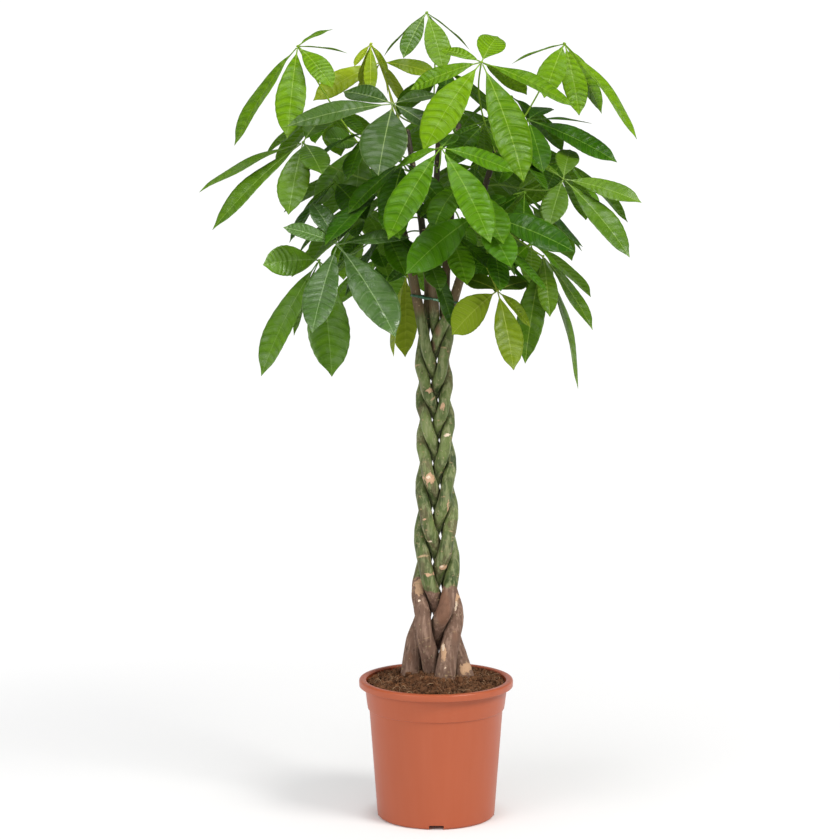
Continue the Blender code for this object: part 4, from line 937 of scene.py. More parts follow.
def leaf_material(name):
    """Skin of a leaf: side veins, quilting with painted light and shade on its bulges, a fine net, a pale rib
    and edge, a dull underside.
    """
    deep, lit, under, rib_color, shine, rough, contrast, sheen = LEAF_LOOKS[name]
    mat, n = new_material("leaf_" + name)
    along, across, phase = n.split(n.attribute("blade"))
    chance, below, span = n.split(n.attribute("tone"))
    place = n.place()
    broad = n.noise(place, 22.0, 3.0)
    blotch = n.noise(place, 75.0, 3.0, 0.6)
    fine = n.noise(place, 700.0, 3.0)
    side = n.math("ABSOLUTE", across)
    to_vein = n.math("ABSOLUTE", n.minus(n.math("FRACT", n.plus(phase, 0.5)), 0.5))
    vein = n.ramp(to_vein, 0.030, 0.110, 1.0, 0.0)
    vein = n.times(vein, n.ramp(side, 0.72, 0.98, 1.0, 0.15))
    # puff: the bulges between side veins, used for the bump and for painted light and shade
    puff = n.ramp(to_vein, 0.05, 0.42)
    puff = n.blend(n.ramp(n.noise(place, 48.0, 2.0), 0.34, 0.60), 0.5, puff)
    net = n.cells(place, 420.0, "DISTANCE_TO_EDGE")
    net = n.ramp(net, 0.02, 0.10, 1.0, 0.0)
    rib = n.ramp(n.times(span, n.ramp(along, 0.0, 1.0, 0.75, 1.7)), 0.45, 0.95, 1.0, 0.0)

    amount = n.plus(n.times(broad, 0.90), n.times(n.minus(chance, 0.58), 0.60))
    amount = n.stir(amount, blotch, 0.60)
    # painted light and shade: bulges between side veins pushed towards the lit colour, grooves towards the
    # deep colour
    amount = n.plus(amount, n.times(n.minus(puff, 0.5), 0.42 * contrast), clamp=True)
    top = n.mix(amount, deep, lit)
    top = n.mix(n.times(vein, 0.20 * contrast), top, rib_color)
    top = n.mix(n.times(net, 0.10), top, rib_color)
    edge = n.ramp(side, 0.93, 1.0)
    top = n.mix(n.times(edge, 0.35), top, rib_color)
    tip = n.times(n.ramp(along, 0.86, 1.0), n.ramp(broad, 0.35, 0.65))
    top = n.mix(n.times(tip, 0.45), top, n.mix(0.5, rib_color, lit))
    low = n.mix(n.times(broad, 0.5), under, lit)
    low = n.mix(n.times(vein, 0.45), low, rib_color)
    color = n.mix(below, top, low)
    color = n.mix(n.times(rib, 0.85), color, rib_color)

    height = n.plus(n.times(puff, 0.8), n.times(fine, 0.10))
    height = n.minus(height, n.times(net, 0.06))
    height = n.minus(height, n.times(vein, 0.35))
    gloss = n.ramp(broad, 0.2, 0.8, rough - 0.06, rough + 0.08)
    gloss = n.blend(below, gloss, rough + 0.20)
    glow = n.mix(n.times(vein, 0.35), shine, rib_color)
    patch = n.ramp(n.plus(n.noise(place, 38.0, 2.0), n.times(puff, 0.12)), 0.50, 0.70)
    shine_level = n.blend(patch, 0.6 * sheen, min(1.0, 2.2 * sheen + 0.10))
    shine_level = n.blend(below, shine_level, 0.08)
    n.finish(color, gloss, n.bump(height, 1.0, 0.0006 + 0.0009 * contrast), glow, 0.26, sheen=shine_level)
    return mat


# ================================================================ meshes
def add_object(name, data):
    obj = bpy.data.objects.new(name, data)
    bpy.context.scene.collection.objects.link(obj)
    return obj


def face_outwards(mesh):
    """Turn every face of a closed mesh to the outside."""
    bm = bmesh.new()
    bm.from_mesh(mesh)
    bmesh.ops.recalc_face_normals(bm, faces=bm.faces)
    bm.to_mesh(mesh)
    bm.free()


def make_piece(name, verts, faces, material, node, vectors=None):
    """A piece on the root body that stands for a CAD node."""
    mesh = bpy.data.meshes.new(name)
    mesh.from_pydata([tuple(v) for v in verts], [], faces)
    mesh.shade_smooth()
    for key, values in (vectors or {}).items():
        layer = mesh.attributes.new(key, "FLOAT_VECTOR", "POINT")
        layer.data.foreach_set("vector", np.asarray(values, dtype=np.float32).ravel())
    mesh.materials.append(material)
    obj = add_object(name, mesh)
    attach(obj, "root")
    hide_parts(node)
    return obj


def add_part(verts, faces, part, part_faces):
    """Another closed part, joined on to a piece."""
    first = len(verts)
    verts += part
    faces += [tuple(first + i for i in f) for f in part_faces]


def turned(profile, segments):
    """A closed profile of (radius, height) turned about Z, closed on the axis at both ends."""
    verts = []
    faces = []
    rings = []
    for radius, height in profile:
        if radius < 1e-9:
            verts.append((0.0, 0.0, height))
            rings.append([len(verts) - 1] * segments)
            continue
        rings.append(range(len(verts), len(verts) + segments))
        for k in range(segments):
            a = FULL * k / segments
            verts.append((radius * math.cos(a), radius * math.sin(a), height))
    for low, high in zip(rings[:-1], rings[1:]):
        for k in range(segments):
            m = (k + 1) % segments
            face = []
            for c in (low[k], low[m], high[m], high[k]):
                if c not in face:
                    face.append(c)
            faces.append(tuple(face))
    return verts, faces


def smooth_step(x, low, high):
    """0 below low, 1 above high, and a soft curve between them."""
    f = np.clip((x - low) / (high - low), 0.0, 1.0)
    return f * f * (3.0 - 2.0 * f)


# ================================================================ pot
POT_SIDES = 168


def arc(cx, cz, r, start, end, steps):
    """Points of an arc in the plane of radius and height, from one angle to another."""
    out = []
    for k in range(steps + 1):
        a = math.radians(start + (end - start) * k / steps)
        out.append((cx + r * math.cos(a), cz + r * math.sin(a)))
    return out


def pot_profile():
    """The pot's section, from the middle of its underside up the outside, over the lip and down inside."""
    lip_low = POT_H - LIP_H
    out = [(0.0, 0.0), (0.030, 0.0), (0.060, 0.0)]
    out += arc(BASE_R - BASE_ROUND, BASE_ROUND, BASE_ROUND, -90.0, -5.0, 8)
    for k in range(1, 24):
        z = BASE_ROUND + (STEP_Z - 0.0015 - BASE_ROUND) * k / 24.0
        out.append((outer_wall(z), z))
    out += arc(STEP_R + 0.0012, STEP_Z - 0.0004, 0.0012, 180.0, 110.0, 4)
    out += arc(BAND_LOW_R - 0.0012, STEP_Z + 0.0020, 0.0012, -70.0, 0.0, 4)
    for k in range(1, 8):
        z = STEP_Z + 0.0030 + (lip_low - STEP_Z - 0.0040) * k / 7.0
        out.append((outer_wall(z), z))
    out += [(BAND_HIGH_R + 0.0003, lip_low + 0.0005), (BAND_HIGH_R + 0.0004, POT_H - 0.0046)]
    out += arc(BAND_HIGH_R + 0.0016, POT_H - 0.0054, 0.0012, 180.0, 90.0, 3)
    out += arc(LIP_R - 0.0034, POT_H - 0.0054, 0.0012, 90.0, 0.0, 3)
    out += [(LIP_R - 0.0021, lip_low + 0.0004)]
    out += arc(LIP_R - 0.0012, lip_low + 0.0009, 0.0009, -170.0, -10.0, 5)
    out += arc(LIP_R - 0.0034, POT_H - 0.0034, 0.0034, 4.0, 88.0, 7)
    out += [(LIP_R - 0.0050, POT_H), (BAND_HIGH_R + 0.0012, POT_H - 0.0001)]
    out += arc(BAND_HIGH_R + 0.0006, POT_H - 0.0028, 0.0026, 100.0, 172.0, 6)
    for k in range(0, 8):
        z = POT_H - 0.0042 - (POT_H - 0.0042 - STEP_Z - 0.0020) * k / 7.0
        out.append((outer_wall(z) - WALL, z))
    out += [(STEP_R - WALL, STEP_Z - 0.0010), (BASE_R - WALL, FLOOR_T + 0.0030)]
    out += [(BASE_R - WALL - 0.0030, FLOOR_T), (0.0, FLOOR_T)]
    return out


def cut_with(target, tool_verts, tool_faces, operation):
    """Add a closed shape to a piece or take it away."""
    mesh = bpy.data.meshes.new("tool")
    mesh.from_pydata([tuple(v) for v in tool_verts], [], tool_faces)
    face_outwards(mesh)
    tool = add_object("tool", mesh)
    mod = target.modifiers.new("cut", "BOOLEAN")
    mod.operation = operation
    mod.solver = "EXACT"
    mod.object = tool
    graph = bpy.context.evaluated_depsgraph_get()
    result = bpy.data.meshes.new_from_object(target.evaluated_get(graph))
    target.modifiers.remove(mod)
    target.data = result
    bpy.data.objects.remove(tool, do_unlink=True)


def rounded_slot(reach, width, height, turn, radius=0.0018, low=-0.004):
    """A box with rounded upper edges that reaches outwards from the axis."""
    outline = [(-width / 2, low), (width / 2, low)]
    outline += arc(width / 2 - radius, height - radius, radius, 0.0, 90.0, 4)
    outline += arc(-width / 2 + radius, height - radius, radius, 90.0, 180.0, 4)
    verts = []
    c = math.cos(turn)
    s = math.sin(turn)
    for x in reach:
        for y, z in outline:
            verts.append((x * c - y * s, x * s + y * c, z))
    count = len(outline)
    faces = [tuple(range(count)), tuple(range(2 * count - 1, count - 1, -1))]
    for k in range(count):
        m = (k + 1) % count
        faces.append((k, m, count + m, count + k))
    return verts, faces


def build_pot():
    """The turned pot; four boxes over the base recesses are added, then recesses and drain holes cut."""
    verts, faces = turned(pot_profile(), POT_SIDES)
    pot = make_piece("nursery_pot", verts, faces, pot_material(), "pot")
    face_outwards(pot.data)
    turns = [math.radians(-90.0 + 90.0 * k) for k in range(4)]
    housing = (RECESS_R - 0.0020, BASE_R - WALL * 0.5)
    for turn in turns:
        slot = rounded_slot(housing, RECESS_W + 0.0040, RECESS_H + 0.0022, turn, 0.0030, 0.0010)
        cut_with(pot, *slot, "UNION")
    for turn in turns:
        cut_with(pot, *rounded_slot((RECESS_R, 0.120), RECESS_W, RECESS_H, turn), "DIFFERENCE")
        x = DRAIN_AT * math.cos(turn)
        y = DRAIN_AT * math.sin(turn)
        cut_with(pot, *tube([(x, y, 0.004), (x, y, 0.014)], [DRAIN_R, DRAIN_R], 28), "DIFFERENCE")
    pot.data.shade_smooth()
    pot.data.set_sharp_from_angle(angle=math.radians(38.0))


# ================================================================ soil
SOIL_RINGS = 96
SOIL_SIDES = 260
CRUMBS = 2900
LARGE_CRUMBS = 80
FIBRES = 980


def soil_height(r):
    """The soil's mean height at a radius."""
    radii = [p[0] for p in SOIL_PROFILE] + [0.1085]
    heights = [p[1] for p in SOIL_PROFILE] + [SOIL_EDGE_Z]
    return np.interp(r, radii, heights)


def lumpy(x, y, scale, depth, seed):
    """Fractal noise at a point of the soil."""
    v = Vector((x * scale + seed, y * scale - seed, seed * 0.37))
    return noise.fractal(v, 0.9, 2.1, depth)


def soil_surface(x, y):
    """The bumpy height of the bed at a place."""
    r = math.hypot(x, y)
    z = float(soil_height(r)) - 0.0012
    z += 0.0030 * lumpy(x, y, 38.0, 4, 3.1)
    z += 0.0024 * abs(lumpy(x, y, 120.0, 4, 7.7))
    return z


def build_soil(rng):
    """The bumpy bed down to the pot's floor, with loose crumbs and fibres on top."""
    edge = outer_wall(SOIL_EDGE_Z) - WALL - SOIL_GAP
    gap = WALL + SOIL_GAP * 2.0
    verts = [(0.0, 0.0, soil_surface(0.0, 0.0))]
    rings = []

    def add_ring(r, height=None):
        rings.append(range(len(verts), len(verts) + SOIL_SIDES))
        for k in range(SOIL_SIDES):
            a = FULL * k / SOIL_SIDES
            x = r * math.cos(a)
            y = r * math.sin(a)
            verts.append((x, y, soil_surface(x, y) if height is None else height))

    for j in range(1, SOIL_RINGS + 1):
        add_ring(edge * (j / SOIL_RINGS) ** 0.9)
    add_ring(BAND_LOW_R - gap, STEP_Z + 0.0022)
    add_ring(STEP_R - gap, STEP_Z - 0.0004)
    add_ring(outer_wall(0.020) - gap, 0.020)
    faces = [(0, 1 + k, 1 + (k + 1) % SOIL_SIDES) for k in range(SOIL_SIDES)]
    faces += [(a, d, c, b) for a, b, c, d in ring_faces(rings)]
    faces.append(tuple(reversed(rings[-1])))
    tint = np.zeros((len(verts), 3))
    for i, v in enumerate(verts):
        tint[i, 0] = 0.25 + 0.5 * noise.noise(Vector((v[0] * 90.0, v[1] * 90.0, 0.0)))
        tint[i, 2] = min(max((v[2] - float(soil_height(math.hypot(v[0], v[1])))) / 0.003 + 0.3, 0.0), 1.0)
    material = soil_material()
    make_piece("soil_bed", verts, faces, material, "soil", {"tint": tint})
    add_crumbs(material, edge, rng)
    add_fibres(edge, rng)


def lump(center, size, rng, detail):
    """A small irregular crumb."""
    bm = bmesh.new()
    bmesh.ops.create_icosphere(bm, subdivisions=detail, radius=1.0)
    stretch = Vector([size * rng.uniform(*limits) for limits in ((0.7, 1.4), (0.7, 1.3), (0.5, 0.9))])
    turn = Matrix.Rotation(rng.uniform(0.0, 6.28), 3, Vector(rng.normal(size=3)).normalized())
    seed = rng.uniform(0.0, 90.0)
    verts = []
    for v in bm.verts:
        rough = 1.0 + 0.45 * noise.noise(v.co * 1.3 + Vector((seed, 0.0, 0.0)))
        rough += 0.22 * noise.noise(v.co * 3.4 + Vector((0.0, seed, 0.0)))
        p = v.co * rough
        p = turn @ Vector((p.x * stretch.x, p.y * stretch.y, p.z * stretch.z))
        verts.append(center + p)
    faces = [tuple(v.index for v in f.verts) for f in bm.faces]
    bm.free()
    return verts, faces


def add_crumbs(material, edge, rng):
    """Crumbs strewn on the bed, the first of them large, piled up a little towards the wall."""
    verts = []
    faces = []
    tint = []
    for k in range(CRUMBS):
        r = edge * math.sqrt(rng.uniform(0.0, 1.0)) * 0.995
        a = rng.uniform(0.0, FULL)
        x = r * math.cos(a)
        y = r * math.sin(a)
        size = 0.0008 + 0.0026 * rng.uniform(0.0, 1.0) ** 3.0
        if k < LARGE_CRUMBS:
            size = rng.uniform(0.0030, 0.0058)
        if r + size > edge - 0.0004:
            continue
        piled = 0.0034 * float(smooth_step(np.float64(r), 0.090, edge)) * rng.uniform(0.0, 1.0)
        center = Vector((x, y, soil_surface(x, y) + size * 0.25 + piled))
        part, part_faces = lump(center, size, rng, 3 if size > 0.0029 else (2 if size > 0.0012 else 1))
        add_part(verts, faces, part, part_faces)
        shade = rng.uniform(0.0, 1.0) ** 1.6
        tint += [(shade, 0.0, rng.uniform(0.0, 0.9))] * len(part)
    make_piece("soil_crumbs", verts, faces, material, "soil", {"tint": tint})


def add_fibres(edge, rng):
    """Curved peat fibres that lie on the bed or arch up from it."""
    verts = []
    faces = []
    tint = []
    for _ in range(FIBRES):
        r = edge * math.sqrt(rng.uniform(0.0, 1.0)) * 0.95
        a = rng.uniform(0.0, FULL)
        p = Vector((r * math.cos(a), r * math.sin(a), 0.0))
        heading = rng.uniform(0.0, FULL)
        bend = rng.uniform(-1.0, 1.0) * 260.0
        length = 0.004 + 0.016 * rng.uniform(0.0, 1.0) ** 2.2
        thick = 0.00020 + 0.00060 * rng.uniform(0.0, 1.0) ** 3.0
        hop = 0.0006 + 0.0075 * rng.uniform(0.0, 1.0) ** 3.0
        steps = 7
        pts = []
        for j in range(steps):
            f = j / (steps - 1.0)
            x = p.x + math.cos(heading) * length * f
            y = p.y + math.sin(heading) * length * f
            heading += bend * length / steps
            if math.hypot(x, y) > edge - 0.0012:
                break
            pts.append(Vector((x, y, soil_surface(x, y) + 0.0004 + hop * math.sin(math.pi * f))))
        if len(pts) < 4:
            continue
        rad = [thick * (1.0 - 0.5 * abs(2.0 * j / (len(pts) - 1.0) - 1.0)) for j in range(len(pts))]
        part, part_faces = tube(pts, rad, 6)
        add_part(verts, faces, part, part_faces)
        shade = rng.uniform(0.0, 1.0) ** 1.5
        tint += [(shade, 0.0, 0.0)] * len(part)
    make_piece("soil_fibres", verts, faces, fibre_material(), "soil", {"tint": tint})


# ================================================================ stems
# Marks on the bark's front: x, height, half width, half height, kind, strength.
MARKS = [
    (-0.0265, 0.3620, 0.0080, 0.0115, "tan", 1.1),
    (-0.0262, 0.3420, 0.0018, 0.0018, "pale", 1.2),
    (0.0104, 0.3320, 0.0110, 0.0260, "red", 1.25),
    (0.0310, 0.3430, 0.0052, 0.0085, "tan", 0.95),
    (0.0315, 0.3350, 0.0014, 0.0036, "pale", 1.3),
    (0.0298, 0.3280, 0.0012, 0.0030, "pale", 1.3),
    (0.0117, 0.2640, 0.0044, 0.0130, "tan", 1.0),
    (0.0110, 0.2710, 0.0022, 0.0065, "pale", 1.0),
    (0.0150, 0.2420, 0.0022, 0.0012, "pale", 1.0),
    (0.0080, 0.2900, 0.0012, 0.0014, "pale", 1.2),
    (0.0455, 0.2340, 0.0100, 0.0085, "tan", 1.0),
    (-0.0400, 0.2500, 0.0060, 0.0110, "red", 0.6),
    (0.0300, 0.2900, 0.0070, 0.0150, "red", 0.6),
    (-0.0130, 0.3850, 0.0085, 0.0028, "tan", 1.0),
    (0.0110, 0.3950, 0.0072, 0.0042, "tan", 1.0),
    (0.0090, 0.3965, 0.0026, 0.0020, "pale", 1.0),
    (-0.0110, 0.5330, 0.0085, 0.0078, "tan", 1.1),
    (-0.0120, 0.5350, 0.0040, 0.0030, "pale", 0.9),
    (0.0180, 0.4860, 0.0012, 0.0150, "tan", 1.0),
    (-0.0100, 0.4350, 0.0050, 0.0012, "pale", 0.9),
    (0.0120, 0.4600, 0.0040, 0.0014, "pale", 0.9),
    (-0.0180, 0.4700, 0.0050, 0.0016, "tan", 0.9),
    (0.0108, 0.5770, 0.0030, 0.0015, "pale", 1.0),
    (0.0075, 0.5635, 0.0016, 0.0012, "pale", 0.9),
    (0.0160, 0.6000, 0.0050, 0.0022, "pale", 1.1),
    (0.0080, 0.6210, 0.0040, 0.0009, "pale", 0.9),
    (0.0097, 0.6440, 0.0038, 0.0068, "tan", 0.85),
    (-0.0105, 0.6690, 0.0080, 0.0034, "tan", 1.05),
    (-0.0060, 0.7350, 0.0050, 0.0100, "red", 0.8),
    (0.0020, 0.7600, 0.0060, 0.0120, "red", 0.7),
    (-0.0120, 0.8330, 0.0080, 0.0180, "red", 1.0),
    (0.0130, 0.7900, 0.0050, 0.0120, "red", 0.9),
]
# where each stem's grey-brown bark turns green
GREEN_FROM = [0.366, 0.350, 0.374, 0.360, 0.362]


def fine_stem_path(i, z, paths, radius):
    """Closely spaced points and radii along a stem."""
    top = TOPS[i][-1][2]
    heights = np.arange(STEM_FOOT_Z + 0.02, top, 0.0030)
    x, y = [np.interp(heights, z, paths[i, :, c]) for c in (0, 1)]
    line = np.stack([x, y, heights], axis=1)
    rad = np.interp(heights, z, radius) + 0.0006
    return line, rad


def build_stem(i, z, paths, radius, rng):
    """A stem's bark: rough at the foot, ringed by old leaf scars, with a rounded top."""
    sides = 30
    line, rad = fine_stem_path(i, z, paths, radius)
    tangent = np.gradient(line, axis=0)
    tangent /= np.linalg.norm(tangent, axis=1)[:, None]
    scars = []
    height = 0.262 + 0.013 * i
    while height < line[-1][2]:
        scars.append((height, rng.uniform(0.0, FULL), rng.uniform(0.4, 1.0), rng.uniform(0.0009, 0.0022)))
        height += rng.uniform(0.028, 0.052) if height < 0.8 else rng.uniform(0.012, 0.022)
    side = Vector((1.0, 0.0, 0.0))
    verts = []
    rings = []
    info = []
    for j in range(len(line)):
        t = Vector(tangent[j])
        side = (side - t * side.dot(t)).normalized()
        other = t.cross(side)
        ring = []
        for k in range(sides):
            a = FULL * k / sides
            out = side * math.cos(a) + other * math.sin(a)
            p = Vector(line[j])
            r = rad[j]
            low = 1.0 - min(max((p.z - 0.24) / 0.16, 0.0), 1.0)
            q = p + out * r
            grain = noise.noise(Vector((q.x * 95.0, q.y * 95.0, q.z * 16.0 + 7.0 * i)))
            r += (0.00035 + 0.0006 * low) * grain
            r += 0.00022 * noise.noise(Vector((q.x * 260.0, q.y * 260.0, q.z * 60.0)))
            r += 0.0030 * max(0.228 - p.z, 0.0) / 0.02 * 0.5 if p.z > 0.205 else 0.0
            ring_mark = 0.0
            for height, heading, size, reach in scars:
                d = (p.z - height - 0.0012 * math.sin(a + heading)) / reach
                if abs(d) < 2.5:
                    swell = math.exp(-d * d)
                    r += 0.00030 * size * swell
                    ring_mark = max(ring_mark, swell * size * (0.50 + 0.60 * math.cos(a - heading)))
            verts.append(p + out * r)
            ring.append(len(verts) - 1)
            info.append((ring_mark, out))
        rings.append(ring)
    t = Vector(tangent[-1])
    for lift, narrow in ((0.35, 0.90), (0.62, 0.66), (0.80, 0.30)):
        ring = []
        for k in range(sides):
            a = FULL * k / sides
            out = side * math.cos(a) + other * math.sin(a)
            verts.append(Vector(line[-1]) + t * (rad[-1] * lift) + out * (rad[-1] * narrow))
            ring.append(len(verts) - 1)
            info.append((0.0, out))
        rings.append(ring)
    return verts, [tuple(reversed(rings[0])), tuple(rings[-1])] + ring_faces(rings), info


def paint_bark(i, verts, info, fronts):
    """Masks on the bark: green, tan and red; pale, dark and ring. The dark mask is painted shade, filled in
    afterwards for the seams between stems and the stem tops inside the crown.
    """
    bark = np.zeros((len(verts), 3))
    scab = np.zeros((len(verts), 3))
    for index, (v, (ring_mark, out)) in enumerate(zip(verts, info)):
        wander = 0.012 * noise.noise(Vector((v.x * 60.0, v.y * 60.0, v.z * 22.0 + 5.0 * i)))
        bark[index, 0] = smooth_step(v.z + wander, GREEN_FROM[i] - 0.010, GREEN_FROM[i] + 0.010)
        bark[index, 2] = 0.60 * smooth_step(v.z, 0.755, 0.800)
        scab[index, 2] = ring_mark
        if out.y < 0.15:
            for x, z, half_x, half_z, kind, strength in MARKS:
                d = ((v.x - x) / half_x) ** 2 + ((v.z - z) / half_z) ** 2
                if d > 6.0 or fronts(x, z) != i:
                    continue
                value = strength * math.exp(-d * 0.7)
                if kind == "tan":
                    bark[index, 1] = max(bark[index, 1], value)
                elif kind == "red":
                    bark[index, 2] = max(bark[index, 2], value)
                else:
                    scab[index, 0] = max(scab[index, 0], value)
    return bark, scab


def painted_crevice_shade(i, points, z, paths, radius):
    """Painted shade where a stem nears its neighbours, and on its part inside the crown: 0 open to 1 dark."""
    x, y, height = points.T
    gap = np.full(len(points), 1.0)
    for j in range(5):
        if j != i:
            cx = np.interp(height, z, paths[j, :, 0])
            cy = np.interp(height, z, paths[j, :, 1])
            gap = np.minimum(gap, np.hypot(x - cx, y - cy) - np.interp(height, z, radius))
    near = np.clip(1.0 - (gap - 0.0010) / 0.0065, 0.0, 1.0) ** 1.6
    dim = np.maximum(0.38 * smooth_step(height, 0.770, 0.812), smooth_step(height, 0.830, 0.900))
    return np.maximum(near, dim)


def build_stems(z, paths, radius, rng):
    """The five stems with their painted bark."""
    material = bark_material()

    def fronts(x, height):
        """The stem that lies in front at a place seen from the front."""
        best = None
        for i in range(5):
            cx = float(np.interp(height, z, paths[i, :, 0]))
            cy = float(np.interp(height, z, paths[i, :, 1]))
            r = float(np.interp(height, z, radius)) + 0.001
            if abs(cx - x) < r:
                y = cy - math.sqrt(r * r - (cx - x) ** 2)
                if best is None or y < best[0]:
                    best = (y, i)
        return best[1] if best else -1

    known = {(m[0], m[1]): fronts(m[0], m[1]) for m in MARKS}
    for i in range(5):
        verts, faces, info = build_stem(i, z, paths, radius, rng)
        bark, scab = paint_bark(i, verts, info, lambda x, h: known[(x, h)])
        # the scab attribute's second channel is painted shade between the stems and under the crown
        scab[:, 1] = painted_crevice_shade(i, np.array([tuple(v) for v in verts]), z, paths, radius)
        node = "stem_%d" % (i + 1)
        make_piece("plait_" + node, verts, faces, material, node, {"bark": bark, "scab": scab})


# ================================================================ tie
def tie_solid(lines, radii):
    """The tie's own shape in the frame, for the clearance test."""
    inner = tie_path(lines, radii, TIE_GAP, 40)
    outer = tie_path(lines, radii, TIE_GAP + TIE_T, 40)
    half = UP * TIE_H * 0.5
    verts = []
    rings = []
    for near, far in zip(inner, outer):
        rings.append(range(len(verts), len(verts) + 4))
        verts += [near + half, near - half, far - half, far + half]
    faces = ring_faces(rings + rings[:1])
    front = min(outer, key=lambda p: p.y + abs(p.x + 0.004) * 0.5)
    pts, rad = tail_line(front, 6)
    add_part(verts, faces, *tube(pts, rad, 8))
    return verts, faces, front


def tail_line(front, count):
    """The tie's loose end, which leaves the knot to the right and hangs."""
    pts = []
    rad = []
    for k in range(count):
        f = k / (count - 1.0)
        pts.append(front + Vector((0.016 * f, -0.0008 - 0.0050 * math.sin(1.6 * f), -0.0075 * f * f)))
        rad.append(0.0018 - 0.0006 * f)
    return pts, rad


def build_tie(lines, radii, front):
    """A thin rolled band round the stems, and its twisted tail."""
    count = 160
    loop = tie_path(lines, radii, TIE_GAP + TIE_T * 0.5, count)
    sides = 12
    verts = []
    for k in range(count):
        ahead = (loop[(k + 1) % count] - loop[k - 1]).normalized()
        out = ahead.cross(UP).normalized()
        wave = 0.0004 * math.sin(9.0 * FULL * k / count)
        for c in range(sides):
            a = FULL * c / sides
            wide = TIE_T * 0.5 * math.copysign(abs(math.cos(a)) ** 0.7, math.cos(a))
            high = TIE_H * 0.46 * math.copysign(abs(math.sin(a)) ** 0.8, math.sin(a))
            high *= 0.85 + 0.15 * math.sin(5.0 * FULL * k / count + 0.7)
            verts.append(loop[k] + out * wide + UP * (high + wave))
    rings = [range(sides * k, sides * (k + 1)) for k in range(count)]
    faces = [(a, d, c, b) for a, b, c, d in ring_faces(rings + rings[:1])]
    make_piece("tie_band", verts, faces, tie_material(), "tie")
    pts, rad = tail_line(front, 40)
    verts = []
    sides = 10
    for k, p in enumerate(pts):
        ahead = (pts[min(k + 1, 39)] - pts[max(k - 1, 0)]).normalized()
        one = (UP - ahead * UP.dot(ahead)).normalized()
        two = ahead.cross(one)
        twist = 0.55 * k
        for c in range(sides):
            a = FULL * c / sides
            flat = 1.0 - 0.35 * math.cos(2.0 * (a - twist))
            r = rad[k] * flat * min(1.0, 0.35 + k * 0.2, 0.30 + (39 - k) * 0.18)
            verts.append(p + (one * math.cos(a) + two * math.sin(a)) * r)
    rings = [range(sides * k, sides * (k + 1)) for k in range(40)]
    faces = ring_faces(rings) + [tuple(reversed(rings[0])), tuple(rings[-1])]
    make_piece("tie_tail", verts, faces, tail_material(), "tie")


# ================================================================ fine leaves
STYLES = ["bright", "mid", "grey", "young", "young", "mid", "bright", "bright", "fresh", "mid",
          "blue", "deep", "olive", "moss", "rich", "rich", "deep", "deep"]
INNER_STYLES = ("dark", "rich", "dark", "fresh")
# The tone of some leaflets: 0 is dark and 1 light, and a few go past that. The key is leaf and leaflet.
TONES = {
    (3, 0): 0.1, (6, 1): 0.1, (6, 2): 1.2, (7, 0): 1.1, (9, 0): 0.6, (9, 1): 0.7, (13, 1): 1.0,
    (13, 3): -1.0, (13, 4): -1.0, (14, 0): 0.4, (15, 0): 0.9, (15, 1): 0.9, (15, 2): 0.0, (18, 0): 0.5,
    (18, 1): -0.6, (18, 2): -0.6, (49, 0): 1.2, (49, 1): 1.2, (49, 2): 1.2, (4, 0): 1.0, (5, 0): 1.0,
}
QUILT = 0.0010


def blade_width(s):
    """The fine outline: the frame's width with a drawn-out tip."""
    u = (s - STALKLET) / (1.0 - STALKLET)
    if u <= 0.0:
        return 0.0
    body = (u ** 1.15) * (max(1.0 - u, 0.0) ** 0.88) / 0.2485
    tip = 1.0 - 0.40 * float(smooth_step(np.float64(u), 0.86, 0.985))
    return body * tip


